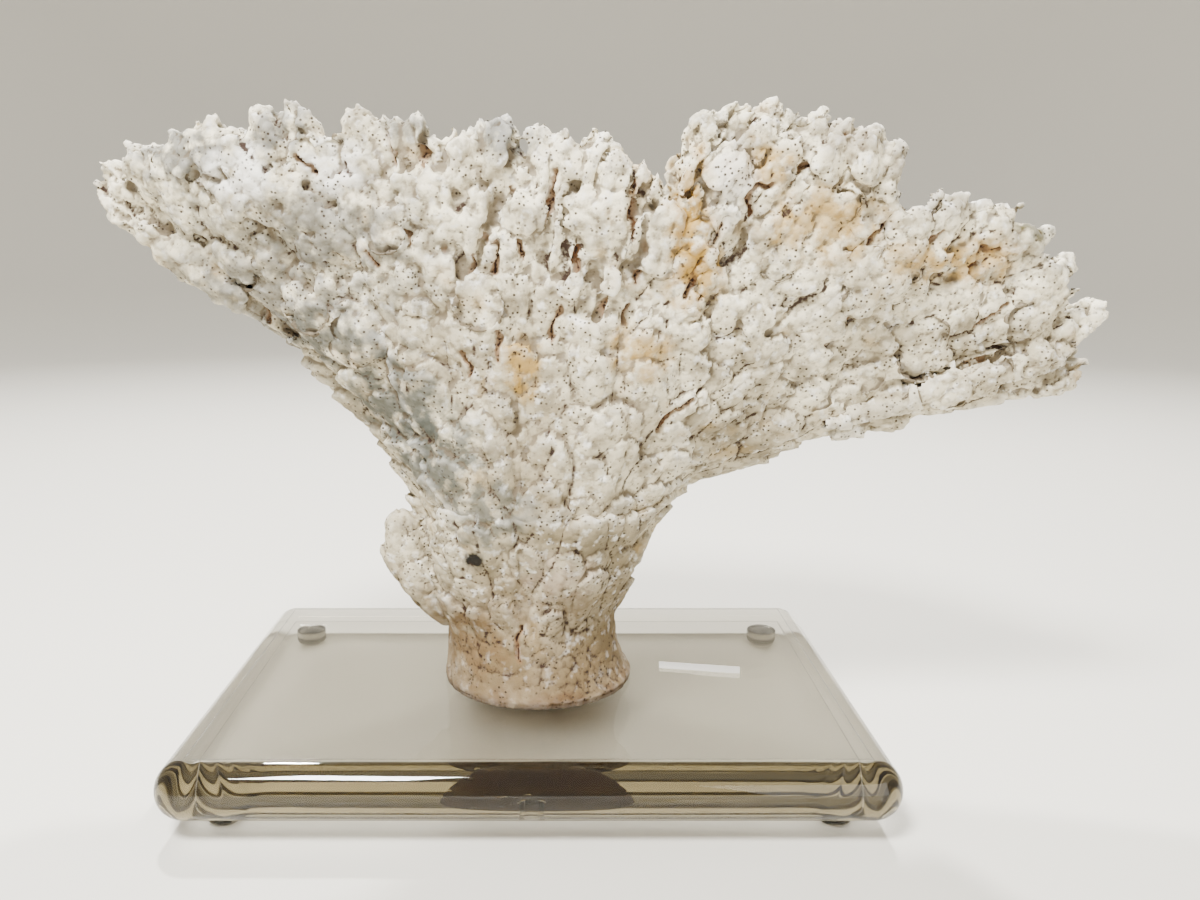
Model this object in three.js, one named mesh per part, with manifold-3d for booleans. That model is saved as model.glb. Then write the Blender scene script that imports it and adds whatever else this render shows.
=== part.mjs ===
// A branching coral mounted on a clear acrylic stand.
//
// Millimetres, +Z up, +X to the right along the stand's long side and +Y to the back. The pieces
// are laid out from the middle of the stand on the table top, and the group is moved at the end
// so that its origin is the middle of the whole object's box, on the table.
//
// The coral is one skeleton that is divided here at its main forks: a stalk with a small side
// knob, and five fronds that spread from it. Each frond is a thick flattened limb with a row of
// blunt branch tips along its rim.

import * as THREE from "three";
import { mergeVertices } from "three/addons/utils/BufferGeometryUtils.js";
import Module from "manifold-3d";

const wasm = await Module();
wasm.setup();

// ---------------------------------------------------------------- driving dimensions

const GAP = 0.3; // clearance between two pieces that touch
const STAND = { width: 304.8, depth: 203.2, thickness: 25.4, corner: 3, roundSteps: 5 };
const BUMPER = { radius: 8, height: 8, inset: 24, sides: 16 };
const BUMPER_DOME = [[4.6, 0], [7.2, 3], [8, 5.6]]; // [radius, height] up to the full radius
const PIN = { radius: 5.5, intoCoral: 30, boreOverrun: 5, sides: 20 };
const PLATE = { radius: 14, thickness: 2.4, sides: 28 };

const STAND_TOP = BUMPER.height + STAND.thickness;
const FORK_HEIGHT = 124; // where the stalk ends and the fronds start
const BACK_FORK = 24; // how far behind the stalk's axis the back frond starts
const RIM = { middle: 28, halfWidth: 236, depth: 68 }; // plan ellipse of the front rim

// The stalk, from the cut foot upwards: [height, middle x, half width, half depth].
const STALK_RINGS = [
  [STAND_TOP + GAP, 2.3, 45.5, 44.5],
  [STAND_TOP + 3, 2.5, 46.5, 45.5],
  [42, 1, 44, 43],
  [52, 0, 42, 41],
  [66, -1, 41.5, 41],
  [78, -1, 46, 43],
  [94, 1.5, 51, 46],
  [110, 2, 55, 49],
  [FORK_HEIGHT - GAP / 2, 4, 61, 52],
];
const STALK_SIDES = 28;

// The knob on the stalk's left side: its path, then [share of the path, half width, half depth].
const KNOB_PATH = [[-34, -6, 60], [-50, -11, 80], [-59, -14, 98], [-60, -15, 119]];
const KNOB_ROWS = [[0, 0, 0], [0.1, 8, 8], [0.4, 10.5, 10], [0.7, 10.5, 9], [0.92, 7, 7], [1, 0, 0]];
const KNOB_SIDES = 10;

// ---------------------------------------------------------------- solids and meshes

// A closed geometry as a solid: its shared corners are merged and its flat slivers dropped.
function solid(geometry) {
  geometry.deleteAttribute("normal");
  geometry.deleteAttribute("uv");
  const merged = mergeVertices(geometry, 1e-3);
  const corners = merged.index.array;
  const kept = [];
  for (let start = 0; start < corners.length; start += 3) {
    const [a, b, c] = corners.slice(start, start + 3);
    if (a !== b && b !== c && c !== a) kept.push(a, b, c);
  }
  const mesh = new wasm.Mesh({
    numProp: 3,
    vertProperties: new Float32Array(merged.getAttribute("position").array),
    triVerts: new Uint32Array(kept),
  });
  return new wasm.Manifold(mesh);
}

function union(solids) {
  return solids.reduce((joined, next) => joined.add(next));
}

function toGeometry(manifold) {
  const { vertProperties, triVerts } = manifold.getMesh();
  const geometry = new THREE.BufferGeometry();
  geometry.setAttribute("position", new THREE.BufferAttribute(vertProperties, 3));
  geometry.setIndex(new THREE.BufferAttribute(triVerts, 1));
  geometry.computeVertexNormals();
  return geometry;
}

function piece(name, manifold, finish) {
  const material = new THREE.MeshStandardMaterial(finish);
  const mesh = new THREE.Mesh(toGeometry(manifold), material);
  mesh.name = name;
  return mesh;
}

const CLEAR = { color: 0xe9ecdf, roughness: 0.05, metalness: 0, transparent: true, opacity: 0.35 };
const CORAL = { color: 0xdcd7cb, roughness: 0.9, metalness: 0 };

// A round form turned about +Z. The profile's points are [radius, height], axis to axis.
function turned(profile, sides) {
  const geometry = new THREE.LatheGeometry(profile.map(([r, z]) => new THREE.Vector2(r, z)), sides);
  geometry.rotateX(Math.PI / 2);
  return solid(geometry);
}

// A body laid along a curve. Each row is [share of the curve, half width, half depth]; the first
// and last rows close the ends. The width lies across the curve as seen from the front.
function bentBody(path, rows, sides) {
  const curve = new THREE.CatmullRomCurve3(path.map((point) => new THREE.Vector3(...point)));
  const outline = rows.map(([share, halfWidth]) => new THREE.Vector2(halfWidth > 0 ? 1 : 0, share));
  const geometry = new THREE.LatheGeometry(outline, sides);
  const position = geometry.getAttribute("position");
  const front = new THREE.Vector3(0, -1, 0);
  const corner = new THREE.Vector3();
  for (let index = 0; index < position.count; index += 1) {
    corner.fromBufferAttribute(position, index);
    const [share, halfWidth, halfDepth] = rows[index % rows.length];
    const along = curve.getTangent(share);
    const across = new THREE.Vector3().crossVectors(front, along).normalize();
    const deep = new THREE.Vector3().crossVectors(across, along);
    const place = curve.getPoint(share);
    place.addScaledVector(across, corner.x * halfWidth);
    place.addScaledVector(deep, corner.z * halfDepth);
    position.setXYZ(index, place.x, place.y, place.z);
  }
  return solid(geometry);
}

// A large block whose face passes through the point [x, y, z]; the block lies on the side that
// the normal points to. It cuts a frond at its fork.
function halfSpace(point, normal, clearance) {
  const reach = 600;
  const geometry = new THREE.BoxGeometry(reach, reach, reach);
  const direction = new THREE.Vector3(...normal).normalize();
  const turn = new THREE.Quaternion().setFromUnitVectors(new THREE.Vector3(0, 0, 1), direction);
  geometry.translate(0, 0, reach / 2 + clearance);
  geometry.applyQuaternion(turn);
  geometry.translate(...point);
  return solid(geometry);
}

// ---------------------------------------------------------------- the stand

// The slab has a full half-round edge and rounded corners, and a bore through its middle.
function standSlab() {
  const round = STAND.thickness / 2;
  const x = STAND.width / 2 - round;
  const y = STAND.depth / 2 - round;
  const r = STAND.corner;
  const outline = new THREE.Shape();
  outline.moveTo(-x + r, -y);
  outline.lineTo(x - r, -y);
  outline.absarc(x - r, -y + r, r, -Math.PI / 2, 0);
  outline.lineTo(x, y - r);
  outline.absarc(x - r, y - r, r, 0, Math.PI / 2);
  outline.lineTo(-x + r, y);
  outline.absarc(-x + r, y - r, r, Math.PI / 2, Math.PI);
  outline.lineTo(-x, -y + r);
  outline.absarc(-x + r, -y + r, r, Math.PI, 1.5 * Math.PI);
  const web = 0.4; // the short upright band between the two quarter rounds
  const geometry = new THREE.ExtrudeGeometry(outline, {
    depth: web,
    bevelSize: round,
    bevelThickness: round - web / 2,
    bevelSegments: STAND.roundSteps,
    curveSegments: 3,
  });
  geometry.translate(0, 0, BUMPER.height + round - web / 2);
  const low = BUMPER.height - PIN.boreOverrun;
  const bore = rod(PIN.radius + GAP, low, STAND_TOP + PIN.boreOverrun, PIN.sides);
  return solid(geometry).subtract(bore);
}

function rod(radius, low, high, sides) {
  return turned([[0, low], [radius, low], [radius, high], [0, high]], sides);
}

// One soft dome under a corner of the slab, flat where it meets the table.
function bumper(name, x, y) {
  const { radius, height, sides } = BUMPER;
  const top = height - GAP;
  const profile = [[0, 0], ...BUMPER_DOME, [radius, top], [0, top]];
  return piece(name, turned(profile, sides).translate([x, y, 0]), CLEAR);
}

function bumpers() {
  const x = STAND.width / 2 - BUMPER.inset;
  const y = STAND.depth / 2 - BUMPER.inset;
  return [
    bumper("bumper_front_left", -x, -y),
    bumper("bumper_front_right", x, -y),
    bumper("bumper_back_left", -x, y),
    bumper("bumper_back_right", x, y),
  ];
}

// The clear rod that holds the coral up, and the plate that closes its bore from below.
function mountingPin() {
  return rod(PIN.radius, BUMPER.height, STAND_TOP + PIN.intoCoral, PIN.sides);
}

function underPlate() {
  const top = BUMPER.height - GAP;
  return rod(PLATE.radius, top - PLATE.thickness, top, PLATE.sides);
}

function pinSocket() {
  return rod(PIN.radius + GAP, 0, STAND_TOP + PIN.intoCoral + GAP, PIN.sides);
}

// ---------------------------------------------------------------- the stalk

// The stalk's outer form, grown by a clearance where it is a cutter.
function stalkForm(clearance) {
  const low = STALK_RINGS[0];
  const high = STALK_RINGS[STALK_RINGS.length - 1];
  const rings = [[low[0], low[1], 0, 0], ...STALK_RINGS, [high[0], high[1], 0, 0]];
  const outline = rings.map(([height, , halfWidth]) => new THREE.Vector2(halfWidth > 0 ? 1 : 0, height));
  const geometry = new THREE.LatheGeometry(outline, STALK_SIDES);
  geometry.rotateX(Math.PI / 2);
  const position = geometry.getAttribute("position");
  for (let index = 0; index < position.count; index += 1) {
    const [height, middle, halfWidth, halfDepth] = rings[index % rings.length];
    const x = middle + position.getX(index) * (halfWidth + clearance);
    const y = position.getY(index) * (halfDepth + clearance);
    position.setXYZ(index, x, y, height);
  }
  return solid(geometry);
}

function sideKnob() {
  return bentBody(KNOB_PATH, KNOB_ROWS, KNOB_SIDES).subtract(stalkForm(GAP));
}

// ---------------------------------------------------------------- the crown and its fronds

// The rim of the crown once round, from the left end along the front: [x, y, height].
const RIM_POINTS = [
  [-184, -20, 262],
  [-152, -46, 271],
  [-110, -58, 277],
  [-60, -66, 280],
  [-10, -70, 274],
  [34, -70, 266],
  [56, -68, 250],
  [76, -68, 278],
  [110, -66, 280],
  [140, -61, 268],
  [151, -58, 248],
  [178, -53, 250],
  [207, -45, 243],
  [224, -38, 222],
  [241, -22, 190],
  [228, 8, 186],
  [186, 40, 206],
  [130, 64, 226],
  [66, 78, 234],
  [0, 82, 240],
  [-62, 76, 244],
  [-118, 56, 248],
  [-164, 20, 252],
];
const RIM_STEPS = 60;
const TOP_MIDDLE = [28, 4, 232]; // the lowest point of the hollow top
const SPREAD = 1.4; // how late a growth line turns from upright to outward
const FACE_SHARES = [0.16, 0.34, 0.52, 0.7, 0.86, 1];
// The hollow top, from the rim to its middle: [share of the way in, depth below the rim].
const TOP_ROWS = [[0.08, -1], [0.22, 5], [0.5, 18], [0.8, 24]];
const CROWN_FOOT = STALK_RINGS[STALK_RINGS.length - 1];

// A growth line runs from the top of the stalk to a point of the rim: up at first, then outward.
function growthPoint([x, y, height], share) {
  const angle = Math.atan2(y / RIM.depth, (x - RIM.middle) / RIM.halfWidth);
  const [footHeight, footMiddle, footWidth, footDepth] = CROWN_FOOT;
  const footX = footMiddle + footWidth * Math.cos(angle);
  const footY = footDepth * Math.sin(angle);
  const outward = share ** SPREAD;
  return [
    footX + (x - footX) * outward,
    footY + (y - footY) * outward,
    footHeight + GAP + (height - footHeight - GAP) * share,
  ];
}

// The whole crown before its forks are cut: a flared body with a hollow top.
function crownForm() {
  const vectors = RIM_POINTS.map((point) => new THREE.Vector3(...point));
  const rim = new THREE.CatmullRomCurve3(vectors, true);
  const faceRows = [0, ...FACE_SHARES];
  const rowCount = faceRows.length + TOP_ROWS.length + 2;
  const outline = Array.from({ length: rowCount }, (_, row) => {
    const closes = row === 0 || row === rowCount - 1;
    return new THREE.Vector2(closes ? 0 : 1, row);
  });
  const geometry = new THREE.LatheGeometry(outline, RIM_STEPS);
  const position = geometry.getAttribute("position");
  for (let index = 0; index < position.count; index += 1) {
    const row = index % rowCount;
    const turn = Math.floor(index / rowCount) % RIM_STEPS;
    const point = rim.getPointAt(turn / RIM_STEPS).toArray();
    position.setXYZ(index, ...crownCorner(row, point, faceRows));
  }
  return solid(geometry);
}

function crownCorner(row, rimPoint, faceRows) {
  if (row === 0) return [CROWN_FOOT[1], 0, CROWN_FOOT[0] + GAP];
  if (row <= faceRows.length) return growthPoint(rimPoint, faceRows[row - 1]);
  const topRow = TOP_ROWS[row - faceRows.length - 1];
  if (topRow === undefined) return TOP_MIDDLE;
  const [inward, drop] = topRow;
  const [x, y, height] = rimPoint.map((value, axis) => value + (TOP_MIDDLE[axis] - value) * inward);
  return [x, y, height - drop * (1 - inward)];
}

// How far in front of the stalk's axis the front rim stands at this x.
function rimDepth(x) {
  const share = (x - RIM.middle) / RIM.halfWidth;
  return -RIM.depth * Math.sqrt(Math.max(0, 1 - share * share));
}

// A branch along its growth line: where its path is set, then [share of the path, half width,
// half depth], for a radius of one.
const BRANCH_SHARES = [0.5, 0.68, 0.84, 1];
const BRANCH_ROWS = [[0, 0, 0], [0.14, 0.5, 0.4], [0.6, 1.15, 1.05], [0.91, 1, 0.9], [1, 0, 0]];
const BRANCH_SIDES = 6;

// One branch of a rim: it rises out of the crown's face and ends in a blunt tip.
function branch(tip, radius) {
  const path = BRANCH_SHARES.map((share) => growthPoint(tip, share));
  const rows = BRANCH_ROWS.map(([share, ...halves]) => [share, ...halves.map((half) => half * radius)]);
  return bentBody(path, rows, BRANCH_SIDES);
}

const LEFT_FORK = { point: [-62, 0, 200], normal: [1, 0, 0.27] };
const MIDDLE_FORK = { point: [60, 0, 200], normal: [1, 0, 0.06] };
const RIGHT_FORK = { point: [110, 0, 204], normal: [0.72, 0, -0.69] };
const BACK_FORK_CUT = { point: [0, BACK_FORK, 0], normal: [0, 1, 0] };

// The side of a fork that its normal points to, or the other side.
const beyond = ({ point, normal }) => ({ point, normal });
const before = ({ point, normal }) => ({ point, normal: normal.map((value) => -value) });

// The front fronds, with the tips of their branches as [x, height] along the front rim.
const FRONT_FRONDS = [
  {
    name: "coral_left_fan",
    tips: [
      [-184, 264], [-181, 274], [-167, 281], [-154, 277], [-145, 285], [-134, 289], [-123, 284],
      [-113, 282], [-106, 290], [-95, 295], [-84, 291],
    ],
    radius: 6,
    sides: [before(LEFT_FORK)],
  },
  {
    name: "coral_centre_fan",
    tips: [
      [-66, 290], [-56, 289], [-47, 288], [-38, 283], [-28, 283], [-18, 285], [-9, 286],
      [6, 284], [15, 283], [27, 285], [34, 276], [44, 271], [50, 266],
    ],
    radius: 6,
    sides: [beyond(LEFT_FORK), before(MIDDLE_FORK)],
  },
  {
    name: "coral_upper_right_lobe",
    tips: [
      [67, 280], [72, 289], [80, 291], [90, 288], [96, 291], [105, 289], [116, 290],
      [126, 286], [137, 284], [147, 278],
    ],
    radius: 5.6,
    sides: [beyond(MIDDLE_FORK), before(RIGHT_FORK)],
  },
  {
    name: "coral_right_fan",
    tips: [
      [157, 264], [166, 264], [177, 259], [190, 255], [204, 256], [218, 246], [231, 233],
      [236, 220], [250, 212], [243, 203], [236, 196], [244, 188],
    ],
    radius: 5.6,
    sides: [beyond(MIDDLE_FORK), beyond(RIGHT_FORK)],
  },
];

// The tips along the back rim, which is the lower one: [x, y, height].
const BACK_TIPS = [
  [-150, 38, 258], [-132, 50, 254], [-112, 61, 258], [-92, 69, 252], [-72, 75, 256],
  [-50, 80, 252], [-28, 83, 254], [-4, 84, 250], [20, 84, 252], [44, 82, 246],
  [68, 79, 248], [92, 75, 242], [116, 70, 240], [139, 62, 236], [161, 53, 228], [182, 43, 220],
];
const BACK_RADIUS = 7;

// The body on its own side of its forks, without the loose slivers that a cut leaves.
function cutAtForks(body, sides) {
  const rest = sides.reduce(
    (left, { point, normal }) => left.intersect(halfSpace(point, normal, GAP / 2)),
    body,
  );
  const bodies = rest.decompose();
  return bodies.reduce((largest, next) => (next.volume() > largest.volume() ? next : largest));
}

function frontFrond(crown, { tips, radius, sides }) {
  const branches = tips.map(([x, height]) => branch([x, rimDepth(x), height], radius));
  return cutAtForks(union([crown, ...branches]), [...sides, before(BACK_FORK_CUT)]);
}

function backFrond(crown) {
  const branches = BACK_TIPS.map((tip) => branch(tip, BACK_RADIUS));
  return cutAtForks(union([crown, ...branches]), [beyond(BACK_FORK_CUT)]);
}

// ---------------------------------------------------------------- the assembly

const group = new THREE.Group();
group.add(piece("acrylic_base", standSlab(), CLEAR));
group.add(...bumpers());
group.add(piece("mounting_pin", mountingPin(), CLEAR));
group.add(piece("under_plate", underPlate(), CLEAR));
group.add(piece("coral_stalk", stalkForm(0).subtract(pinSocket()), CORAL));
group.add(piece("coral_side_knob", sideKnob(), CORAL));
const crown = crownForm();
FRONT_FRONDS.forEach((frond) => group.add(piece(frond.name, frontFrond(crown, frond), CORAL)));
group.add(piece("coral_back_fan", backFrond(crown), CORAL));

// The origin goes to the middle of the whole object's box, on the table.
const middle = new THREE.Box3().setFromObject(group).getCenter(new THREE.Vector3());
group.position.set(-middle.x, -middle.y, 0);

export default group;
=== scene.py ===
"""A branching coral on a clear acrylic stand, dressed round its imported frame.

The frame gives every place and size. The stand's pieces are modelled as a maker would: a slab
with a half-round edge, four soft bumpers, a pin and its plate. Each piece of the coral starts from
its own solid in the frame, is fused with the blunt fingers of its rim into one skin, and is then
covered with overlapping plates, slits and small buds that follow the direction it grew in.
"""

import logging
import math
from collections.abc import Callable
from dataclasses import dataclass, field
from enum import Enum
import bpy
import numpy as np
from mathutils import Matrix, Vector
from mathutils.bvhtree import BVHTree
from mathutils.kdtree import KDTree


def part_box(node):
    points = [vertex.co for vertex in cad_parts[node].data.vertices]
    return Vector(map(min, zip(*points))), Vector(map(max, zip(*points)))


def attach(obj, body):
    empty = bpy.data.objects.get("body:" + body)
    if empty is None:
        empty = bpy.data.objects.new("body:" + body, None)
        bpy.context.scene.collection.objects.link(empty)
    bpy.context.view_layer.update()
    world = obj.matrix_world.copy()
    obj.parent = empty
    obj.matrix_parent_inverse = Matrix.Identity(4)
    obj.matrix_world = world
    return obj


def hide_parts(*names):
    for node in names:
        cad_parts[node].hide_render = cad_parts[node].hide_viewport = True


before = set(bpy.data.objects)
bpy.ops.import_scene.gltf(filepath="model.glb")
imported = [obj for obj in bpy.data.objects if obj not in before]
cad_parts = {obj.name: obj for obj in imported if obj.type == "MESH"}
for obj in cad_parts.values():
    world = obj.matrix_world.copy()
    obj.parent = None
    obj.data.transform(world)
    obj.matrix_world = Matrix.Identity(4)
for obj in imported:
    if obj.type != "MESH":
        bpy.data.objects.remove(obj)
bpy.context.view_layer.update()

MM = 0.001
NEAR = 0.01 * MM  # two heights closer than this are the same
FAR_MM = 9.0  # stands for any place beyond reach of a slit or an edge
ONE_TURN = 6.28  # the range that a wave's start is drawn from
LOG = logging.getLogger("coral")


# ------------------------------------------------------------------ small helpers


def linear(hex_colour: str) -> tuple[float, float, float, float]:
    """Turn an sRGB hex colour into linear light.

    Args:
        hex_colour: six hex digits, such as "d8d2c4".

    Returns:
        Red, green, blue and an alpha of one.
    """
    channels = [int(hex_colour[start : start + 2], 16) / 255 for start in (0, 2, 4)]
    low, high = (lambda c: c / 12.92), (lambda c: ((c + 0.055) / 1.055) ** 2.4)
    return (*[low(c) if c <= 0.04045 else high(c) for c in channels], 1.0)


def only(piece: bpy.types.Object) -> None:
    """Select one object alone and make it the active one.

    Args:
        piece: the object to select.
    """
    bpy.ops.object.select_all(action="DESELECT")
    piece.select_set(True)
    bpy.context.view_layer.objects.active = piece


def apply_modifier(piece: bpy.types.Object, kind: str, **settings: object) -> None:
    """Add a modifier with its settings and apply it to the mesh.

    Args:
        piece: the object to change.
        kind: the modifier's type name.
        **settings: the modifier's own properties.
    """
    only(piece)
    modifier = piece.modifiers.new(kind.title(), kind)
    for name, value in settings.items():
        setattr(modifier, name, value)
    bpy.ops.object.modifier_apply(modifier=modifier.name)


def select_faces(piece: bpy.types.Object, test: Callable[[Vector, Vector], bool]) -> None:
    """Select in edit mode the faces that a test of centre and normal accepts.

    Args:
        piece: the active object, in edit mode.
        test: a function of a face's centre and normal.
    """
    bpy.ops.mesh.select_all(action="DESELECT")
    bpy.ops.object.mode_set(mode="OBJECT")
    for face in piece.data.polygons:
        face.select = bool(test(face.center, face.normal))
    bpy.ops.object.mode_set(mode="EDIT")


def select_edges(piece: bpy.types.Object, test: Callable[[Vector, Vector], bool]) -> None:
    """Select in edit mode the edges whose two ends a test accepts.

    Args:
        piece: the active object, in edit mode.
        test: a function of the edge's two end points.
    """
    bpy.ops.mesh.select_mode(type="EDGE")
    bpy.ops.mesh.select_all(action="DESELECT")
    bpy.ops.object.mode_set(mode="OBJECT")
    points = piece.data.vertices
    for edge in piece.data.edges:
        first, second = (points[index].co for index in edge.vertices)
        edge.select = bool(test(first, second))
    bpy.ops.object.mode_set(mode="EDIT")


def settle(piece: bpy.types.Object) -> bpy.types.Object:
    """Put a piece's place into its mesh, so that its object sits at the origin.

    Args:
        piece: the piece, still at its own place.

    Returns:
        The same piece.
    """
    only(piece)
    bpy.ops.object.transform_apply(location=True, rotation=True, scale=True)
    return piece


def move_points(piece: bpy.types.Object, points: np.ndarray) -> None:
    """Give a mesh's points new places.

    Args:
        piece: the object to change.
        points: one row for each of its points.
    """
    piece.data.vertices.foreach_set("co", points.ravel())
    piece.data.update()


def add_node(
    tree: bpy.types.NodeTree, kind: str, links: dict | None = None, **settings: object
) -> bpy.types.Node:
    """Add one shader node.

    Args:
        tree: the material's node tree.
        kind: the node's type name.
        links: input name or index to a socket to link, or to a value to set.
        **settings: the node's own properties.

    Returns:
        The new node.
    """
    node = tree.nodes.new(kind)
    for name, value in settings.items():
        setattr(node, name, value)
    for name, value in (links or {}).items():
        if isinstance(value, bpy.types.NodeSocket):
            tree.links.new(value, node.inputs[name])
        else:
            node.inputs[name].default_value = value
    return node


def new_material(name: str) -> tuple[bpy.types.Material, bpy.types.NodeTree, bpy.types.Node]:
    """Make an empty material with a Principled shader on its output.

    Args:
        name: what the material is called.

    Returns:
        The material, its node tree and its shader.
    """
    material = bpy.data.materials.new(name)
    material.use_nodes = True
    tree = material.node_tree
    shader = next(node for node in tree.nodes if node.type == "BSDF_PRINCIPLED")
    return material, tree, shader


def dress(piece: bpy.types.Object, material: bpy.types.Material) -> None:
    """Give a piece one material all over."""
    piece.data.materials.clear()
    piece.data.materials.append(material)


def hand_over(piece: bpy.types.Object, node: str) -> None:
    """Let a finished piece ride on the part's body in place of its solid.

    Args:
        piece: the finished piece.
        node: the name of the solid that it stands for.
    """
    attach(piece, "root")
    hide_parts(node)
    LOG.info("%s: %d faces", piece.name, len(piece.data.polygons))


# ------------------------------------------------------------------ the stand


@dataclass(frozen=True)
class ClearPlastic:
    """A see-through plastic: what it passes, how it bends light and what it swallows.

    Attributes:
        name: the material's name.
        ior: refractive index.
        roughness: of the polished or moulded surface.
        tint: the colour that long paths through it turn to.
        density: absorption for each metre of path.
        scuff_mm: spacing of the faint scuffs on the surface.
        scuff_depth_mm: depth of those scuffs.
        scuff_strength: how much of that depth shows.
    """

    name: str
    ior: float
    roughness: float
    tint: str
    density: float
    scuff_mm: float
    scuff_depth_mm: float
    scuff_strength: float = 0.12

    def build(self) -> bpy.types.Material:
        """Make the material.

        Returns:
            The finished material.
        """
        material, tree, shader = new_material(self.name)
        shader.inputs["Base Color"].default_value = (1, 1, 1, 1)
        shader.inputs["Transmission Weight"].default_value = 1.0
        shader.inputs["IOR"].default_value = self.ior
        shader.inputs["Roughness"].default_value = self.roughness
        place = add_node(tree, "ShaderNodeTexCoord").outputs["Object"]
        scuffs = add_node(
            tree,
            "ShaderNodeTexNoise",
            {"Vector": place, "Scale": 1 / (self.scuff_mm * MM), "Detail": 3.0},
        )
        bump = add_node(
            tree,
            "ShaderNodeBump",
            {
                "Height": scuffs.outputs["Fac"],
                "Strength": self.scuff_strength,
                "Distance": self.scuff_depth_mm * MM,
            },
        )
        tree.links.new(bump.outputs["Normal"], shader.inputs["Normal"])
        absorb = add_node(
            tree,
            "ShaderNodeVolumeAbsorption",
            {"Color": linear(self.tint), "Density": self.density},
        )
        output = next(node for node in tree.nodes if node.type == "OUTPUT_MATERIAL")
        tree.links.new(absorb.outputs["Volume"], output.inputs["Volume"])
        return material


# Cast acrylic, flame polished: as clear as glass, with a warm grey cast through its length.
CAST_ACRYLIC = ClearPlastic(
    name="cast_acrylic",
    ior=1.49,
    roughness=0.006,
    tint="dcd7c6",
    density=24.0,
    scuff_mm=40.0,
    scuff_depth_mm=0.05,
)
# Cast polyurethane bumpers: softer and slightly hazy.
SOFT_POLYURETHANE = ClearPlastic(
    name="soft_polyurethane",
    ior=1.5,
    roughness=0.22,
    tint="a39a80",
    density=150.0,
    scuff_mm=3.0,
    scuff_depth_mm=0.08,
)


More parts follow.
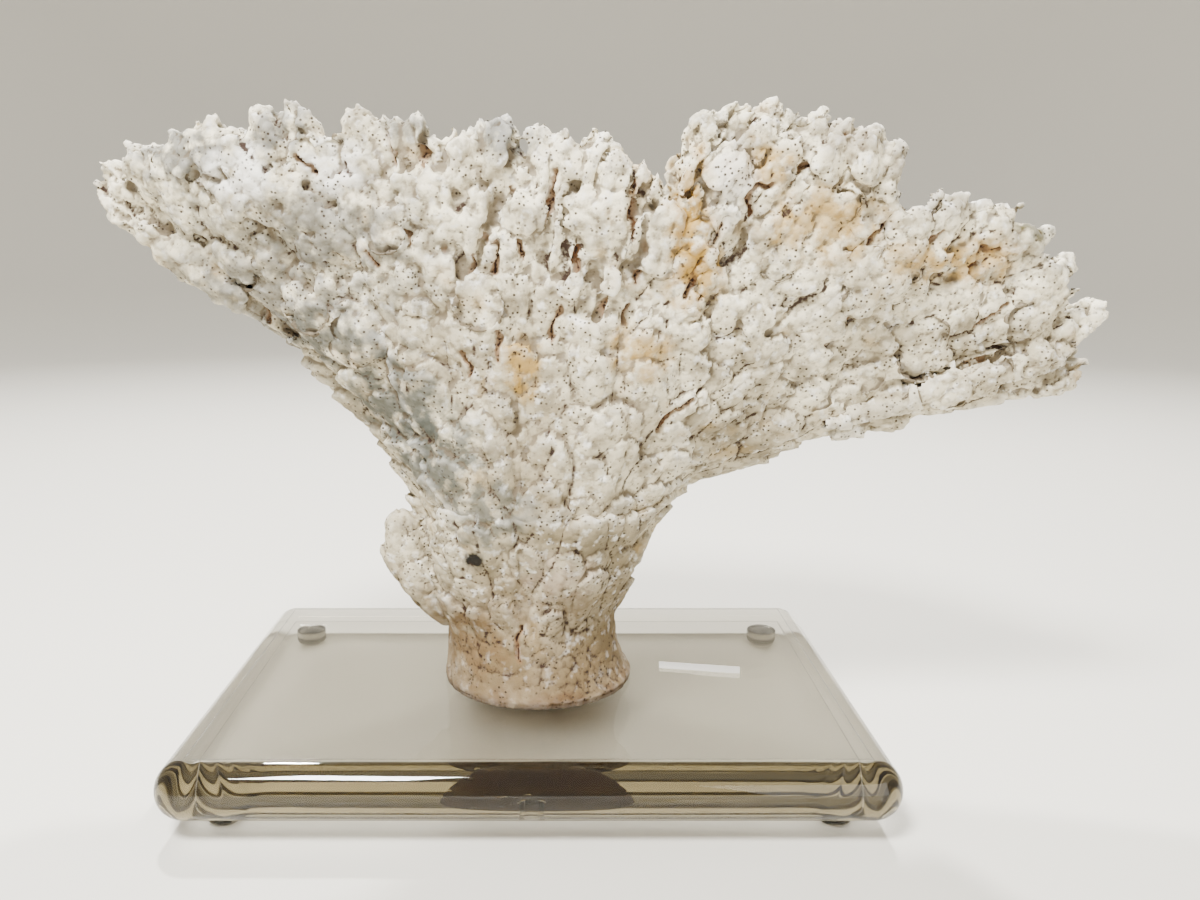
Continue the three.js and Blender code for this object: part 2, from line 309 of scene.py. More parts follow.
@dataclass
class Stand:
    """The clear slab, its bumpers, and the pin and plate that hold the coral.

    Attributes:
        arc_segments: faces round each half of the slab's half-round edge.
        arc_slack_mm: how much less than half the thickness the edge's radius is.
        land_mm: width of the flat band that keeps the slab's faces flat beside the round.
        bore_clearance_mm: clearance of the pin in its bore.
        bumper_dome_mm: radius of a bumper's dome.
        bumper_rim_mm: radius of a bumper's upper rim.
        pin_rim_mm: radius of the pin's rims.
        plate_rim_mm: radius of the plate's rims.
        round_sides: sides of each turned piece.
    """

    arc_segments: int = 40
    arc_slack_mm: float = 0.02
    land_mm: float = 0.6
    bore_clearance_mm: float = 0.3
    bumper_dome_mm: float = 3.4
    bumper_rim_mm: float = 0.4
    pin_rim_mm: float = 0.5
    plate_rim_mm: float = 0.6
    round_sides: int = 64

    def build(self) -> None:
        """Make every piece of the stand and hand it over."""
        acrylic = CAST_ACRYLIC.build()
        rubber = SOFT_POLYURETHANE.build()
        self.finish(self.slab(), acrylic, "acrylic_base", "clear_acrylic")
        for corner in ("front_left", "front_right", "back_left", "back_right"):
            name = f"bumper_{corner}"
            self.finish(self.bumper(name), rubber, name, "clear_bumper")
        pin = self.rimmed("mounting_pin", "mounting_rod", self.pin_rim_mm)
        self.finish(pin, acrylic, "mounting_pin", "clear_acrylic")
        plate = self.rimmed("under_plate", "under_disc", self.plate_rim_mm)
        self.finish(plate, acrylic, "under_plate", "clear_acrylic")

    def finish(
        self, piece: bpy.types.Object, material: bpy.types.Material, node: str, slot: str
    ) -> None:
        """Dress a piece of the stand and hand it over."""
        dress(piece, material)
        hand_over(piece, node)

    def slab(self) -> bpy.types.Object:
        """The slab: a block with every edge rounded to half its thickness, and a bore.

        Returns:
            The finished slab.
        """
        low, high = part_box("acrylic_base")
        size = high - low
        bpy.ops.mesh.primitive_cube_add(size=1, location=(low + high) / 2, scale=size)
        piece = settle(bpy.context.object)
        piece.name = "acrylic_slab"
        apply_modifier(
            piece,
            "BEVEL",
            width=size.z / 2 - self.arc_slack_mm * MM,
            segments=self.arc_segments,
            limit_method="ANGLE",
            use_clamp_overlap=False,
        )
        bpy.ops.object.mode_set(mode="EDIT")
        bpy.ops.mesh.select_mode(type="FACE")
        select_faces(
            piece,
            lambda c, n: abs(n.z) > 0.999 and min(high.z - c.z, c.z - low.z) < NEAR,
        )
        bpy.ops.mesh.inset(thickness=self.land_mm * MM, use_individual=True)
        bpy.ops.object.mode_set(mode="OBJECT")
        self.bore(piece)
        only(piece)
        bpy.ops.object.shade_smooth_by_angle(angle=math.radians(30))
        return piece

    def bore(self, slab: bpy.types.Object) -> None:
        """Cut the pin's bore right through the slab.

        Args:
            slab: the slab to cut.
        """
        low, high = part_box("mounting_pin")
        slab_low, slab_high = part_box("acrylic_base")
        middle = (low + high) / 2
        middle.z = (slab_low.z + slab_high.z) / 2
        bpy.ops.object.select_all(action="DESELECT")
        bpy.ops.mesh.primitive_cylinder_add(
            vertices=self.round_sides,
            radius=(high.x - low.x) / 2 + self.bore_clearance_mm * MM,
            depth=(slab_high.z - slab_low.z) * 1.5,
            location=middle,
        )
        cutter = bpy.context.object
        apply_modifier(slab, "BOOLEAN", object=cutter, operation="DIFFERENCE", solver="EXACT")
        bpy.data.objects.remove(cutter)

    def turned(self, node: str, name: str) -> bpy.types.Object:
        """A cylinder that fills the box of a round node, ready to be shaped.

        Args:
            node: the solid's name.
            name: what the piece is called.

        Returns:
            The cylinder.
        """
        low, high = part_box(node)
        bpy.ops.object.select_all(action="DESELECT")
        bpy.ops.mesh.primitive_cylinder_add(
            vertices=self.round_sides,
            radius=(high.x - low.x) / 2,
            depth=high.z - low.z,
            location=(low + high) / 2,
        )
        piece = settle(bpy.context.object)
        piece.name = name
        return piece

    def bumper(self, node: str) -> bpy.types.Object:
        """One bumper: a squat cylinder whose lower edge is rounded into a dome.

        Args:
            node: the solid's name.

        Returns:
            The finished bumper.
        """
        low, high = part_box(node)
        piece = self.turned(node, f"{node}_dome")
        middle_z = (low.z + high.z) / 2
        bpy.ops.object.mode_set(mode="EDIT")
        select_edges(piece, lambda a, b: a.z < middle_z and b.z < middle_z)
        bpy.ops.mesh.bevel(offset=self.bumper_dome_mm * MM, segments=10, profile=0.5)
        select_edges(piece, lambda a, b: min(a.z, b.z) > high.z - NEAR)
        bpy.ops.mesh.bevel(offset=self.bumper_rim_mm * MM, segments=3, profile=0.5)
        bpy.ops.object.mode_set(mode="OBJECT")
        bpy.ops.object.shade_smooth_by_angle(angle=math.radians(35))
        return piece

    def rimmed(self, node: str, name: str, width_mm: float) -> bpy.types.Object:
        """A turned piece whose two rims are rounded a little.

        Args:
            node: the solid's name.
            name: what the piece is called.
            width_mm: radius of its rims.

        Returns:
            The finished piece.
        """
        piece = self.turned(node, name)
        bpy.ops.object.mode_set(mode="EDIT")
        select_edges(piece, lambda a, b: abs(a.z - b.z) < NEAR)
        bpy.ops.mesh.bevel(offset=width_mm * MM, segments=4, profile=0.5)
        bpy.ops.object.mode_set(mode="OBJECT")
        bpy.ops.object.shade_smooth_by_angle(angle=math.radians(35))
        return piece


# ------------------------------------------------------------------ the coral's surface


@dataclass(frozen=True)
class Cloud:
    """Points, point normals and triangles of one mesh as arrays.

    Attributes:
        points: a row for each point.
        triangles: a row of three point numbers for each triangle.
        normals: a row for each point, where they are known.
    """

    points: np.ndarray
    triangles: np.ndarray
    normals: np.ndarray | None = None

    @classmethod
    def of(cls, piece: bpy.types.Object) -> "Cloud":
        """Read a mesh's points, triangles and normals.

        Args:
            piece: the object whose mesh is read.

        Returns:
            The mesh as a cloud.
        """
        mesh = piece.data
        mesh.calc_loop_triangles()
        points = np.empty(len(mesh.vertices) * 3)
        mesh.vertices.foreach_get("co", points)
        triangles = np.empty(len(mesh.loop_triangles) * 3, np.int32)
        mesh.loop_triangles.foreach_get("vertices", triangles)
        normals = np.empty(len(mesh.vertices) * 3)
        mesh.vertex_normals.foreach_get("vector", normals)
        return cls(points.reshape(-1, 3), triangles.reshape(-1, 3), normals.reshape(-1, 3))

    @classmethod
    def joined(cls, clouds: list["Cloud"]) -> "Cloud":
        """Several meshes as one, without normals.

        Args:
            clouds: the meshes to join.

        Returns:
            One cloud with all of them.
        """
        starts = np.cumsum([0] + [len(cloud.points) for cloud in clouds[:-1]])
        triangles = [cloud.triangles + start for cloud, start in zip(clouds, starts)]
        points = np.concatenate([cloud.points for cloud in clouds])
        return cls(points, np.concatenate(triangles).astype(np.int32))

    def to_object(self, name: str) -> bpy.types.Object:
        """Make a mesh object of the points and triangles.

        Args:
            name: what the object is called.

        Returns:
            The new object.
        """
        mesh = bpy.data.meshes.new(name)
        mesh.vertices.add(len(self.points))
        mesh.vertices.foreach_set("co", self.points.ravel())
        mesh.loops.add(self.triangles.size)
        mesh.loops.foreach_set("vertex_index", self.triangles.ravel())
        mesh.polygons.add(len(self.triangles))
        starts = np.arange(0, self.triangles.size, 3, dtype=np.int32)
        mesh.polygons.foreach_set("loop_start", starts)
        mesh.update(calc_edges=True)
        piece = bpy.data.objects.new(name, mesh)
        bpy.context.scene.collection.objects.link(piece)
        return piece

    def index(self) -> KDTree:
        """Sort the points for searching.

        Returns:
            A search tree of the points.
        """
        tree = KDTree(len(self.points))
        for number, point in enumerate(self.points.tolist()):
            tree.insert(point, number)
        tree.balance()
        return tree


def unit(vectors: np.ndarray) -> np.ndarray:
    """Each row scaled to length one."""
    return vectors / np.maximum(np.linalg.norm(vectors, axis=-1, keepdims=True), 1e-12)


def ease(value: np.ndarray, start: float, stop: float) -> np.ndarray:
    """A smooth step from 0 at start to 1 at stop."""
    share = np.clip((value - start) / (stop - start), 0, 1)
    return share * share * (3 - 2 * share)


def dot(first: np.ndarray, second: np.ndarray) -> np.ndarray:
    """Row by row dot product, kept as a column."""
    return (first * second).sum(-1, keepdims=True)


def thin_out(points: np.ndarray, spacing: float) -> np.ndarray:
    """Which points to keep so that no two are nearer than a spacing.

    Args:
        points: candidates in the order they are tried.
        spacing: the least distance.

    Returns:
        The kept points' indices.
    """
    tree = Cloud(points, np.empty((0, 3), np.int32)).index()
    free = np.ones(len(points), bool)
    kept = []
    for index, point in enumerate(points.tolist()):
        if free[index]:
            kept.append(index)
            free[[near for _, near, _ in tree.find_range(point, spacing)]] = False
    return np.array(kept)


def scatter(cloud: Cloud, spacing: float, draw: np.random.Generator) -> np.ndarray:
    """Spread points evenly at random over a mesh.

    Args:
        cloud: the mesh.
        spacing: the least distance between two points.
        draw: the random draws.

    Returns:
        For each point, the index of the mesh's nearest corner.
    """
    corners = cloud.points[cloud.triangles]
    cross = np.cross(corners[:, 1] - corners[:, 0], corners[:, 2] - corners[:, 0])
    area = np.linalg.norm(cross, axis=1) / 2
    count = int(area.sum() / spacing**2 * 3)
    picked = cloud.triangles[draw.choice(len(area), count, p=area / area.sum()), 0]
    return picked[thin_out(cloud.points[picked], spacing)]


@dataclass(frozen=True)
class Growth:
    """The directions the coral grew in, and its zones from the foot to the rim.

    Attributes:
        axis: the stalk's axis, in plan.
        fork_z: the height where the stalk ends.
        foot_z: the height of the cut foot.
        rim_z: the height of the highest tip.
        glue_z: the height of the sawn face, which is stuck to the slab.
        gather: how far the starts of the growth lines stay from the axis, across and in depth.
        source_mm: how far below a place its growth line starts.
        source_rise: how fast that start climbs above the fork.
        bend_mm: the height over which the lines turn from upright to outward.
        zone_mm: from the foot up to the flare's top and to the trunk, from the fork up to the
            fronds, and from the rim down to their tips.
        limb_start_mm: where the long right frond starts, from the axis.
        limb_lead: how much sooner the zones come along that frond.
    """

    axis: tuple[float, float]
    fork_z: float
    foot_z: float
    rim_z: float
    glue_z: float
    gather: tuple[float, float] = (0.25, 0.3)
    source_mm: float = 12.0
    source_rise: float = 0.5
    bend_mm: float = 40.0
    zone_mm: tuple[float, float, float, float] = (18.0, 40.0, 55.0, 40.0)
    limb_start_mm: float = 60.0
    limb_lead: float = 0.28

    @classmethod
    def of_frame(cls) -> "Growth":
        """Read the growth directions' fixed points from the frame.

        Returns:
            The growth of this coral.
        """
        low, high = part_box("coral_stalk")
        pin_low, pin_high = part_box("mounting_pin")
        rim = max(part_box(name)[1].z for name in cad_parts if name.startswith("coral"))
        axis = ((pin_low.x + pin_high.x) / 2, (pin_low.y + pin_high.y) / 2)
        return cls(axis, high.z, low.z, rim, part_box("acrylic_base")[1].z - 0.1 * MM)

    def directions(self, points: np.ndarray) -> np.ndarray:
        """The direction of growth at each point: upright below, out from behind above.

        Args:
            points: places on the coral.

        Returns:
            A direction of length one for each point.
        """
        lift = np.maximum(points[:, 2] - self.fork_z, 0)
        level = np.minimum(points[:, 2], self.fork_z)
        axis = np.array(self.axis)
        source = np.empty_like(points)
        source[:, :2] = axis + np.array(self.gather) * (points[:, :2] - axis)
        source[:, 2] = level - self.source_mm * MM + self.source_rise * lift
        share = np.clip(lift / (self.bend_mm * MM), 0, 1)[:, None]
        upright = np.array([0.0, 0.0, 1.0])
        return unit(upright * (1 - share) + unit(points - source) * share)

    def zone(
        self, points: np.ndarray, foot: float, stalk: float, fan: float, rim: float
    ) -> np.ndarray:
        """A value for each point, blended from one for each zone.

        Args:
            points: places on the coral.
            foot: the value at the cut foot.
            stalk: the value on the trunk.
            fan: the value on the lower half of the fronds.
            rim: the value towards their tips.

        Returns:
            One value for each point.
        """
        foot_mm, trunk_mm, fork_mm, rim_mm = self.zone_mm
        heights = [
            self.foot_z + foot_mm * MM,
            self.foot_z + trunk_mm * MM,
            self.fork_z + fork_mm * MM,
            self.rim_z - rim_mm * MM,
        ]
        limb = np.maximum(points[:, 0] - self.axis[0] - self.limb_start_mm * MM, 0)
        reach = points[:, 2] + self.limb_lead * limb
        return np.interp(reach, heights, [foot, stalk, fan, rim])


GROWTH = Growth.of_frame()


@dataclass(frozen=True)
class Sites:
    """Where the lobes of one layer grow, and how each lies.

    Attributes:
        points: their middles.
        normals: outwards, at each.
        along: towards each one's free end.
        across: towards its side.
        length: from root to free end.
        width: from the middle to a side.
        height: how far the free end stands proud.
        phase: where the wave along that end starts.
    """

    points: np.ndarray
    normals: np.ndarray
    along: np.ndarray
    across: np.ndarray
    length: np.ndarray
    width: np.ndarray
    height: np.ndarray
    phase: np.ndarray


@dataclass(frozen=True)
class Layer:
    """One size of overlapping lobe, like a shingle whose free end stands proud.

    Attributes:
        spacing_mm: distance between neighbours.
        length_mm: along the growth.
        width_mm: from side to side.
        height_mm: how far its free end stands proud.
        lip_mm: the width over which that end drops.
        swing_deg: how far it strays from the growth direction.
        scallop_mm: the wave along its free end.
        zones: share of the height at the foot, trunk, fronds and rim.
        limb_stretch: how much longer it is on the long right frond.
        seed: for its random draws.
        sizes: the smallest and the largest lobe, against that size.
        proportions: how much narrower or longer than usual one may be.
        bow: how far back its free end curves towards its sides.
        wave_turns: how fast the two waves along that end run, for each millimetre.
        wave_shares: how strong each of them is.
        root_share: how proud the root still stands, as a share of the free end.
        root_span: where along its length it rises from the surface, from its middle.
        least_facing: how far the surface may turn away from a lobe that still reaches it.
    """

    spacing_mm: float
    length_mm: float
    width_mm: float
    height_mm: float
    lip_mm: float
    swing_deg: float
    scallop_mm: float
    zones: tuple[float, float, float, float]
    limb_stretch: float
    seed: int
    sizes: tuple[float, float] = (0.72, 1.3)
    proportions: tuple[float, float] = (0.85, 1.2)
    bow: float = 0.55
    wave_turns: tuple[float, float] = (1.35, 2.6)
    wave_shares: tuple[float, float] = (0.6, 0.4)
    root_share: float = 0.12
    root_span: tuple[float, float] = (-0.5, -0.1)
    least_facing: float = 0.2

    def sites(self, whole: Cloud) -> Sites:
        """Choose where this layer's lobes grow on the whole coral.

        Args:
            whole: the coral's whole skin.

        Returns:
            The places and sizes of the lobes.
        """
        draw = np.random.default_rng(self.seed)
        picked = scatter(whole, self.spacing_mm * MM, draw)
        points, normals = whole.points[picked], whole.normals[picked]
        count = len(points)
        growth = GROWTH.directions(points)
        along = unit(growth - dot(growth, normals) * normals + 1e-9)
        swing = np.radians(draw.normal(0, self.swing_deg, count))[:, None]
        along = along * np.cos(swing) + np.cross(normals, along) * np.sin(swing)
        limb_start = GROWTH.limb_start_mm * MM
        limb = ease(points[:, 0] - GROWTH.axis[0], limb_start, 2 * limb_start)
        stretch = 1 + limb * (self.limb_stretch - 1)
        size = draw.uniform(*self.sizes, count)
        height = self.height_mm * size * GROWTH.zone(points, *self.zones)
        return Sites(
            points,
            normals,
            along,
            np.cross(normals, along),
            self.length_mm * size * stretch * draw.uniform(*self.proportions, count) * MM,
            self.width_mm / 2 * size * draw.uniform(*self.proportions, count) * MM,
            height * MM,
            draw.uniform(0, ONE_TURN, count),
        )

    def relief(self, sites: Sites, cloud: Cloud, tree: KDTree) -> tuple[np.ndarray, np.ndarray]:
        """The height of this layer over a mesh, and how near each point is to a lobe's edge.

        Args:
            sites: where the lobes grow.
            cloud: the mesh.
            tree: the mesh's search tree.

        Returns:
            The height of the highest lobe at each point, and its lead over the next one.
        """
        first = np.zeros(len(cloud.points))
        second = np.zeros(len(cloud.points))
        low, high = cloud.points.min(0) - 0.02, cloud.points.max(0) + 0.02
        near_piece = ((sites.points > low) & (sites.points < high)).all(1) & (sites.height > 0)
        for number in np.flatnonzero(near_piece):
            self.raise_one(sites, number, cloud, tree, first, second)
        return first, first - second

    def raise_one(
        self,
        sites: Sites,
        number: int,
        cloud: Cloud,
        tree: KDTree,
        first: np.ndarray,
        second: np.ndarray,
    ) -> None:
        """Add one lobe to the two running highest surfaces.

        Args:
            sites: where the lobes grow.
            number: which of them.
            cloud: the mesh.
            tree: the mesh's search tree.
            first: the highest surface so far, changed in place.
            second: the next highest, changed in place.
        """
        length, width = sites.length[number], sites.width[number]
        centre = sites.points[number]
        found = tree.find_range(centre.tolist(), math.hypot(length / 2, width) * 1.05)
        if not found:
            return
        near = np.array([index for _, index, _ in found])
        offset = cloud.points[near] - centre
        facing = cloud.normals[near] @ sites.normals[number]
        near, offset = near[facing > self.least_facing], offset[facing > self.least_facing]
        forward = offset @ sites.along[number]
        sideways = offset @ sites.across[number]
        side = np.clip(1 - np.abs(sideways / width) ** 3, 0, 1) ** 0.7
        turn, phase = sideways / MM, sites.phase[number]
        (slow, quick), (strong, weak) = self.wave_turns, self.wave_shares
        wave = strong * np.sin(turn * slow + phase) + weak * np.sin(turn * quick + 3 * phase)
        bowed = 1 - self.bow * (sideways / width) ** 2
        end = length / 2 * bowed + wave * self.scallop_mm * MM
        lip = ease((end - forward) / (self.lip_mm * MM), 0, 1)
        back = ease(forward / length, *self.root_span)
        ramp = np.clip(forward / length + 0.5, 0, 1)
        rise = self.root_share + (1 - self.root_share) * ramp
        height = sites.height[number] * side * lip * back * rise
        better = height > first[near]
        second[near] = np.where(better, first[near], np.maximum(second[near], height))
        first[near] = np.maximum(first[near], height)


# Long swells that run out along the fronds.
SWELLS = Layer(
    spacing_mm=22,
    length_mm=68,
    width_mm=25,
    height_mm=5.8,
    lip_mm=2.6,
    swing_deg=14,
    scallop_mm=1.2,
    zones=(0.1, 0.8, 1.0, 0.7),
    limb_stretch=1.5,
    seed=3,
)
# The overlapping plates, with a scalloped free edge; the finish paints a dark line of shade below
# it.
PLATES = Layer(
    spacing_mm=11.5,
    length_mm=26,
    width_mm=18,
    height_mm=4.4,
    lip_mm=1.1,
    swing_deg=24,
    scallop_mm=0.9,
    zones=(0.12, 1.0, 0.9, 0.6),
    limb_stretch=1.35,
    seed=5,
)


@dataclass(frozen=True)
class Slit:
    """A narrow slit that runs down from between two fingers of the rim.

    Attributes:
        x_mm: its upper end, across.
        z_mm: its upper end, above the table.
        length_mm: how far down it runs.
    """

    x_mm: float
    z_mm: float
    length_mm: float


# The deep slits on the front of the fronds.
FRONT_SLITS = [
    Slit(-73, 274, 20),
    Slit(-56, 242, 22),
    Slit(-44, 240, 14),
    Slit(-36, 280, 30),
    Slit(-22, 266, 22),
    Slit(9, 262, 24),
    Slit(-88, 254, 20),
    Slit(-98, 240, 12),
    Slit(43, 246, 34),
    Slit(28, 258, 44),
    Slit(8, 214, 8),
    Slit(90, 280, 30),
    Slit(62, 262, 22),
    Slit(76, 250, 18),
    Slit(110, 262, 26),
    Slit(140, 248, 26),
    Slit(152, 232, 20),
    Slit(-20, 214, 16),
    Slit(-45, 205, 14),
    Slit(35, 176, 22),
    Slit(-60, 196, 12),
]


@dataclass(frozen=True)
class SlitCutter:
    """Traces each slit over the coral and sinks it.

    Attributes:
        depth_mm: how deep a slit is.
        wander_deg: how much it turns at each step.
        stray_spacing_mm: distance between the places where a stray slit may start.
        stray_chances: how likely one is at the foot, trunk, fronds and rim.
        stray_length_mm: the shortest and the longest stray slit.
        edges_mm: from its middle, how far its floor and its sides reach.
        reach_mm: how far around a slit its distance is measured.
        seed: for its random draws.
    """

    depth_mm: float = 2.4
    wander_deg: float = 16.0
    stray_spacing_mm: float = 17.0
    stray_chances: tuple[float, float, float, float] = (0.0, 0.04, 0.08, 0.5)
    stray_length_mm: tuple[float, float] = (6.0, 22.0)
    edges_mm: tuple[float, float] = (0.2, 1.5)
    reach_mm: float = 5.0
    seed: int = 9

    def paths(self, whole: Cloud, tree: KDTree, surface: BVHTree) -> np.ndarray:
        """Points every millimetre along all the slits.

        Args:
            whole: the coral's whole skin.
            tree: its search tree.
            surface: the same, for casting rays.

        Returns:
            All the points.
        """
        draw = np.random.default_rng(self.seed)
        traced = []
        for slit in FRONT_SLITS:
            start = Vector((slit.x_mm * MM, -0.3, slit.z_mm * MM))
            hit = surface.ray_cast(start, Vector((0, 1, 0)))[0]
            if hit is not None:
                traced += self.trace(np.array(hit), slit.length_mm, whole, tree, draw)
        picked = scatter(whole, self.stray_spacing_mm * MM, draw)
        chance = GROWTH.zone(whole.points[picked], *self.stray_chances)
        for index in picked[draw.random(len(picked)) < chance]:
            length_mm = draw.uniform(*self.stray_length_mm)
            traced += self.trace(whole.points[index], length_mm, whole, tree, draw)
        return np.array(traced)

    def trace(
        self,
        place: np.ndarray,
        length_mm: float,
        whole: Cloud,
        tree: KDTree,
        draw: np.random.Generator,
    ) -> list[np.ndarray]:
        """Walk against the growth from one place, a millimetre at a time.

        Args:
            place: where the slit starts.
            length_mm: how far it runs.
            whole: the coral's whole skin.
            tree: its search tree.
            draw: the random draws.

        Returns:
            The places along the slit.
        """
        path = []
        turn = 0.0
        for _ in range(int(length_mm)):
            index = tree.find(place.tolist())[1]
            point, normal = whole.points[index : index + 1], whole.normals[index]
            growth = GROWTH.directions(point)[0]
            down = unit(-(growth - growth.dot(normal) * normal))
            turn = 0.75 * turn + math.radians(draw.normal(0, self.wander_deg))
            step = down * math.cos(turn) + np.cross(normal, down) * math.sin(turn)
            path.append(place)
            place = place + step * MM - normal * (place - point[0]).dot(normal) * 0.5
        return path

    def distances(self, traced: np.ndarray, cloud: Cloud, tree: KDTree) -> np.ndarray:
        """How far each point of a mesh is from the nearest slit, in millimetres.

        Args:
            traced: the places along all the slits.
            cloud: the mesh.
            tree: its search tree.

        Returns:
            One distance for each point.
        """
        far = np.full(len(cloud.points), FAR_MM)
        low, high = cloud.points.min(0) - 0.01, cloud.points.max(0) + 0.01
        for place in traced[((traced > low) & (traced < high)).all(1)].tolist():
            for _, index, distance in tree.find_range(place, self.reach_mm * MM):
                far[index] = min(far[index], distance / MM)
        return far


@dataclass(frozen=True)
class Finger:
    """One blunt finger of the rim, for a length, width and thickness of one each.

    Attributes:
        core: the block inside its buds.
        rounding: how far the block's edges are rounded.
        rounding_steps: in how many steps.
        buds: how many small buds stand round it.
        bud_size: a bud's radius.
        bud_arc_deg: how far round its free end the buds stand.
        bud_ring: how far they stand from its middle, along it and across.
        bud_step: how far each bud stands above or below the middle, by turns.
    """

    core: float = 0.86
    rounding: float = 0.2
    rounding_steps: int = 3
    buds: int = 9
    bud_size: float = 0.17
    bud_arc_deg: float = 230.0
    bud_ring: tuple[float, float] = (0.4, 0.43)
    bud_step: float = 0.14

    def model(self) -> Cloud:
        """Model the finger once: a rounded block with buds stepped along its sides and tip.

        Returns:
            The finger as a cloud.
        """
        bpy.ops.object.select_all(action="DESELECT")
        bpy.ops.mesh.primitive_cube_add(size=self.core)
        piece = bpy.context.object
        apply_modifier(piece, "BEVEL", width=self.rounding, segments=self.rounding_steps)
        ahead, aside = self.bud_ring
        for index in range(self.buds):
            round_end = self.bud_arc_deg * index / (self.buds - 1) - self.bud_arc_deg / 2
            turn = math.radians(round_end)
            lift = self.bud_step * (-1) ** index
            place = (ahead * math.cos(turn), aside * math.sin(turn), lift)
            bpy.ops.mesh.primitive_ico_sphere_add(
                subdivisions=1, radius=self.bud_size, location=place
            )
            bud = bpy.context.object
            only(piece)
            bud.select_set(True)
            bpy.ops.object.join()
        cloud = Cloud.of(piece)
        bpy.data.objects.remove(piece)
        return cloud


@dataclass(frozen=True)
class Fingers:
    """How the fingers stand on the rim and over the hollow top.

    Attributes:
        spacing_mm: distance between neighbours.
        size_mm: length, width and thickness.
        sizes: the smallest and the largest, against that size.
        start_mm: how far above the fork they begin, and where they are in full number.
        rim_chance: how likely a finger is on the rim.
        top_chance: how much likelier it is where the surface faces up.
        swing: how far it strays from the growth direction.
        tilt_deg: how far each leans out from the surface.
        top_tilt_deg: how much more it leans out where the surface faces up.
        tilt_swing_deg: how unevenly they lean.
        sunk: how far back its middle lies, as a share of its length.
        seed: for the random draws.
    """

    spacing_mm: float = 9.5
    size_mm: tuple[float, float, float] = (19.0, 13.0, 8.0)
    sizes: tuple[float, float] = (0.7, 1.25)
    start_mm: tuple[float, float] = (20.0, 60.0)
    rim_chance: float = 0.75
    top_chance: float = 0.8
    swing: float = 0.22
    tilt_deg: float = 8.0
    top_tilt_deg: float = 45.0
    tilt_swing_deg: float = 7.0
    sunk: float = 0.25
    seed: int = 21

    def grow(self, shape: Cloud, whole: Cloud) -> tuple[Cloud, np.ndarray]:
        """Lay the fingers over the whole coral.

        Args:
            shape: the modelled finger.
            whole: the coral's whole skin.

        Returns:
            One cloud with the fingers one after another, and the place each grows from.
        """
        draw = np.random.default_rng(self.seed)
        picked = scatter(whole, self.spacing_mm * MM, draw)
        chance = GROWTH.zone(whole.points[picked], 0, 0, 0, self.rim_chance)
        chance += self.top_chance * ease(whole.normals[picked][:, 2], 0.1, 0.5)
        begin, full = (GROWTH.fork_z + above_mm * MM for above_mm in self.start_mm)
        chance *= ease(whole.points[picked][:, 2], begin, full)
        picked = picked[draw.random(len(picked)) < chance]
        points, normals = whole.points[picked], whole.normals[picked]
        count = len(points)
        growth = GROWTH.directions(points)
        along = unit(growth - dot(growth, normals) * normals + 1e-9)
        across = np.cross(normals, along)
        along = unit(along + across * draw.normal(0, self.swing, count)[:, None])
        across = np.cross(normals, along)
        upward = ease(normals[:, 2], 0.2, 0.8)
        lean_deg = self.tilt_deg + self.top_tilt_deg * upward
        tilt = np.radians(lean_deg + draw.normal(0, self.tilt_swing_deg, count))[:, None]
        axis = along * np.cos(tilt) + normals * np.sin(tilt)
        size = draw.uniform(*self.sizes, (count, 1)) * np.array(self.size_mm) * MM
        local = shape.points[None] * size[:, None]
        placed = (
            (points - axis * size[:, :1] * self.sunk)[:, None]
            + local[..., :1] * axis[:, None]
            + local[..., 1:2] * across[:, None]
            + local[..., 2:] * np.cross(axis, across)[:, None]
        )
        steps = np.arange(count)[:, None, None] * len(shape.points)
        triangles = (shape.triangles[None] + steps).reshape(-1, 3)
        return Cloud(placed.reshape(-1, 3), triangles.astype(np.int32)), points


def edges_of(piece: bpy.types.Object) -> np.ndarray:
    """The mesh's edges as pairs of point indices.

    Args:
        piece: the object whose mesh is read.

    Returns:
        A row of two point numbers for each edge.
    """
    edges = np.empty(len(piece.data.edges) * 2, np.int32)
    piece.data.edges.foreach_get("vertices", edges)
    return edges.reshape(-1, 2)


def keep_largest(piece: bpy.types.Object) -> None:
    """Delete every loose shell but the largest, such as sealed bubbles left by fusing.

    Args:
        piece: the object to clean.
    """
    edges = edges_of(piece)
    label = np.arange(len(piece.data.vertices))
    while True:
        low = np.minimum(label[edges[:, 0]], label[edges[:, 1]])
        new = label.copy()
        np.minimum.at(new, edges[:, 0], low)
        np.minimum.at(new, edges[:, 1], low)
        new = new[new]
        if np.array_equal(new, label):
            break
        label = new
    values, counts = np.unique(label, return_counts=True)
    if len(values) == 1:
        return
    only(piece)
    bpy.ops.object.mode_set(mode="EDIT")
    bpy.ops.mesh.select_mode(type="VERT")
    bpy.ops.mesh.select_all(action="DESELECT")
    bpy.ops.object.mode_set(mode="OBJECT")
    piece.data.vertices.foreach_set("select", label != values[counts.argmax()])
    bpy.ops.object.mode_set(mode="EDIT")
    bpy.ops.mesh.delete(type="VERT")
    bpy.ops.object.mode_set(mode="OBJECT")


def smoothed(points: np.ndarray, edges: np.ndarray, rounds: int) -> np.ndarray:
    """Points averaged with their neighbours a number of times.

    Args:
        points: a row for each point.
        edges: which points are neighbours.
        rounds: how many times.

    Returns:
        The averaged points.
    """
    count = len(points)
    degree = np.bincount(edges.ravel(), minlength=count)[:, None]
    result = points.copy()
    for _ in range(rounds):
        total = np.zeros_like(result)
        for axis in range(3):
            first = np.bincount(edges[:, 0], result[edges[:, 1], axis], count)
            second = np.bincount(edges[:, 1], result[edges[:, 0], axis], count)
            total[:, axis] = first + second
        result = total / np.maximum(degree, 1)
    return result


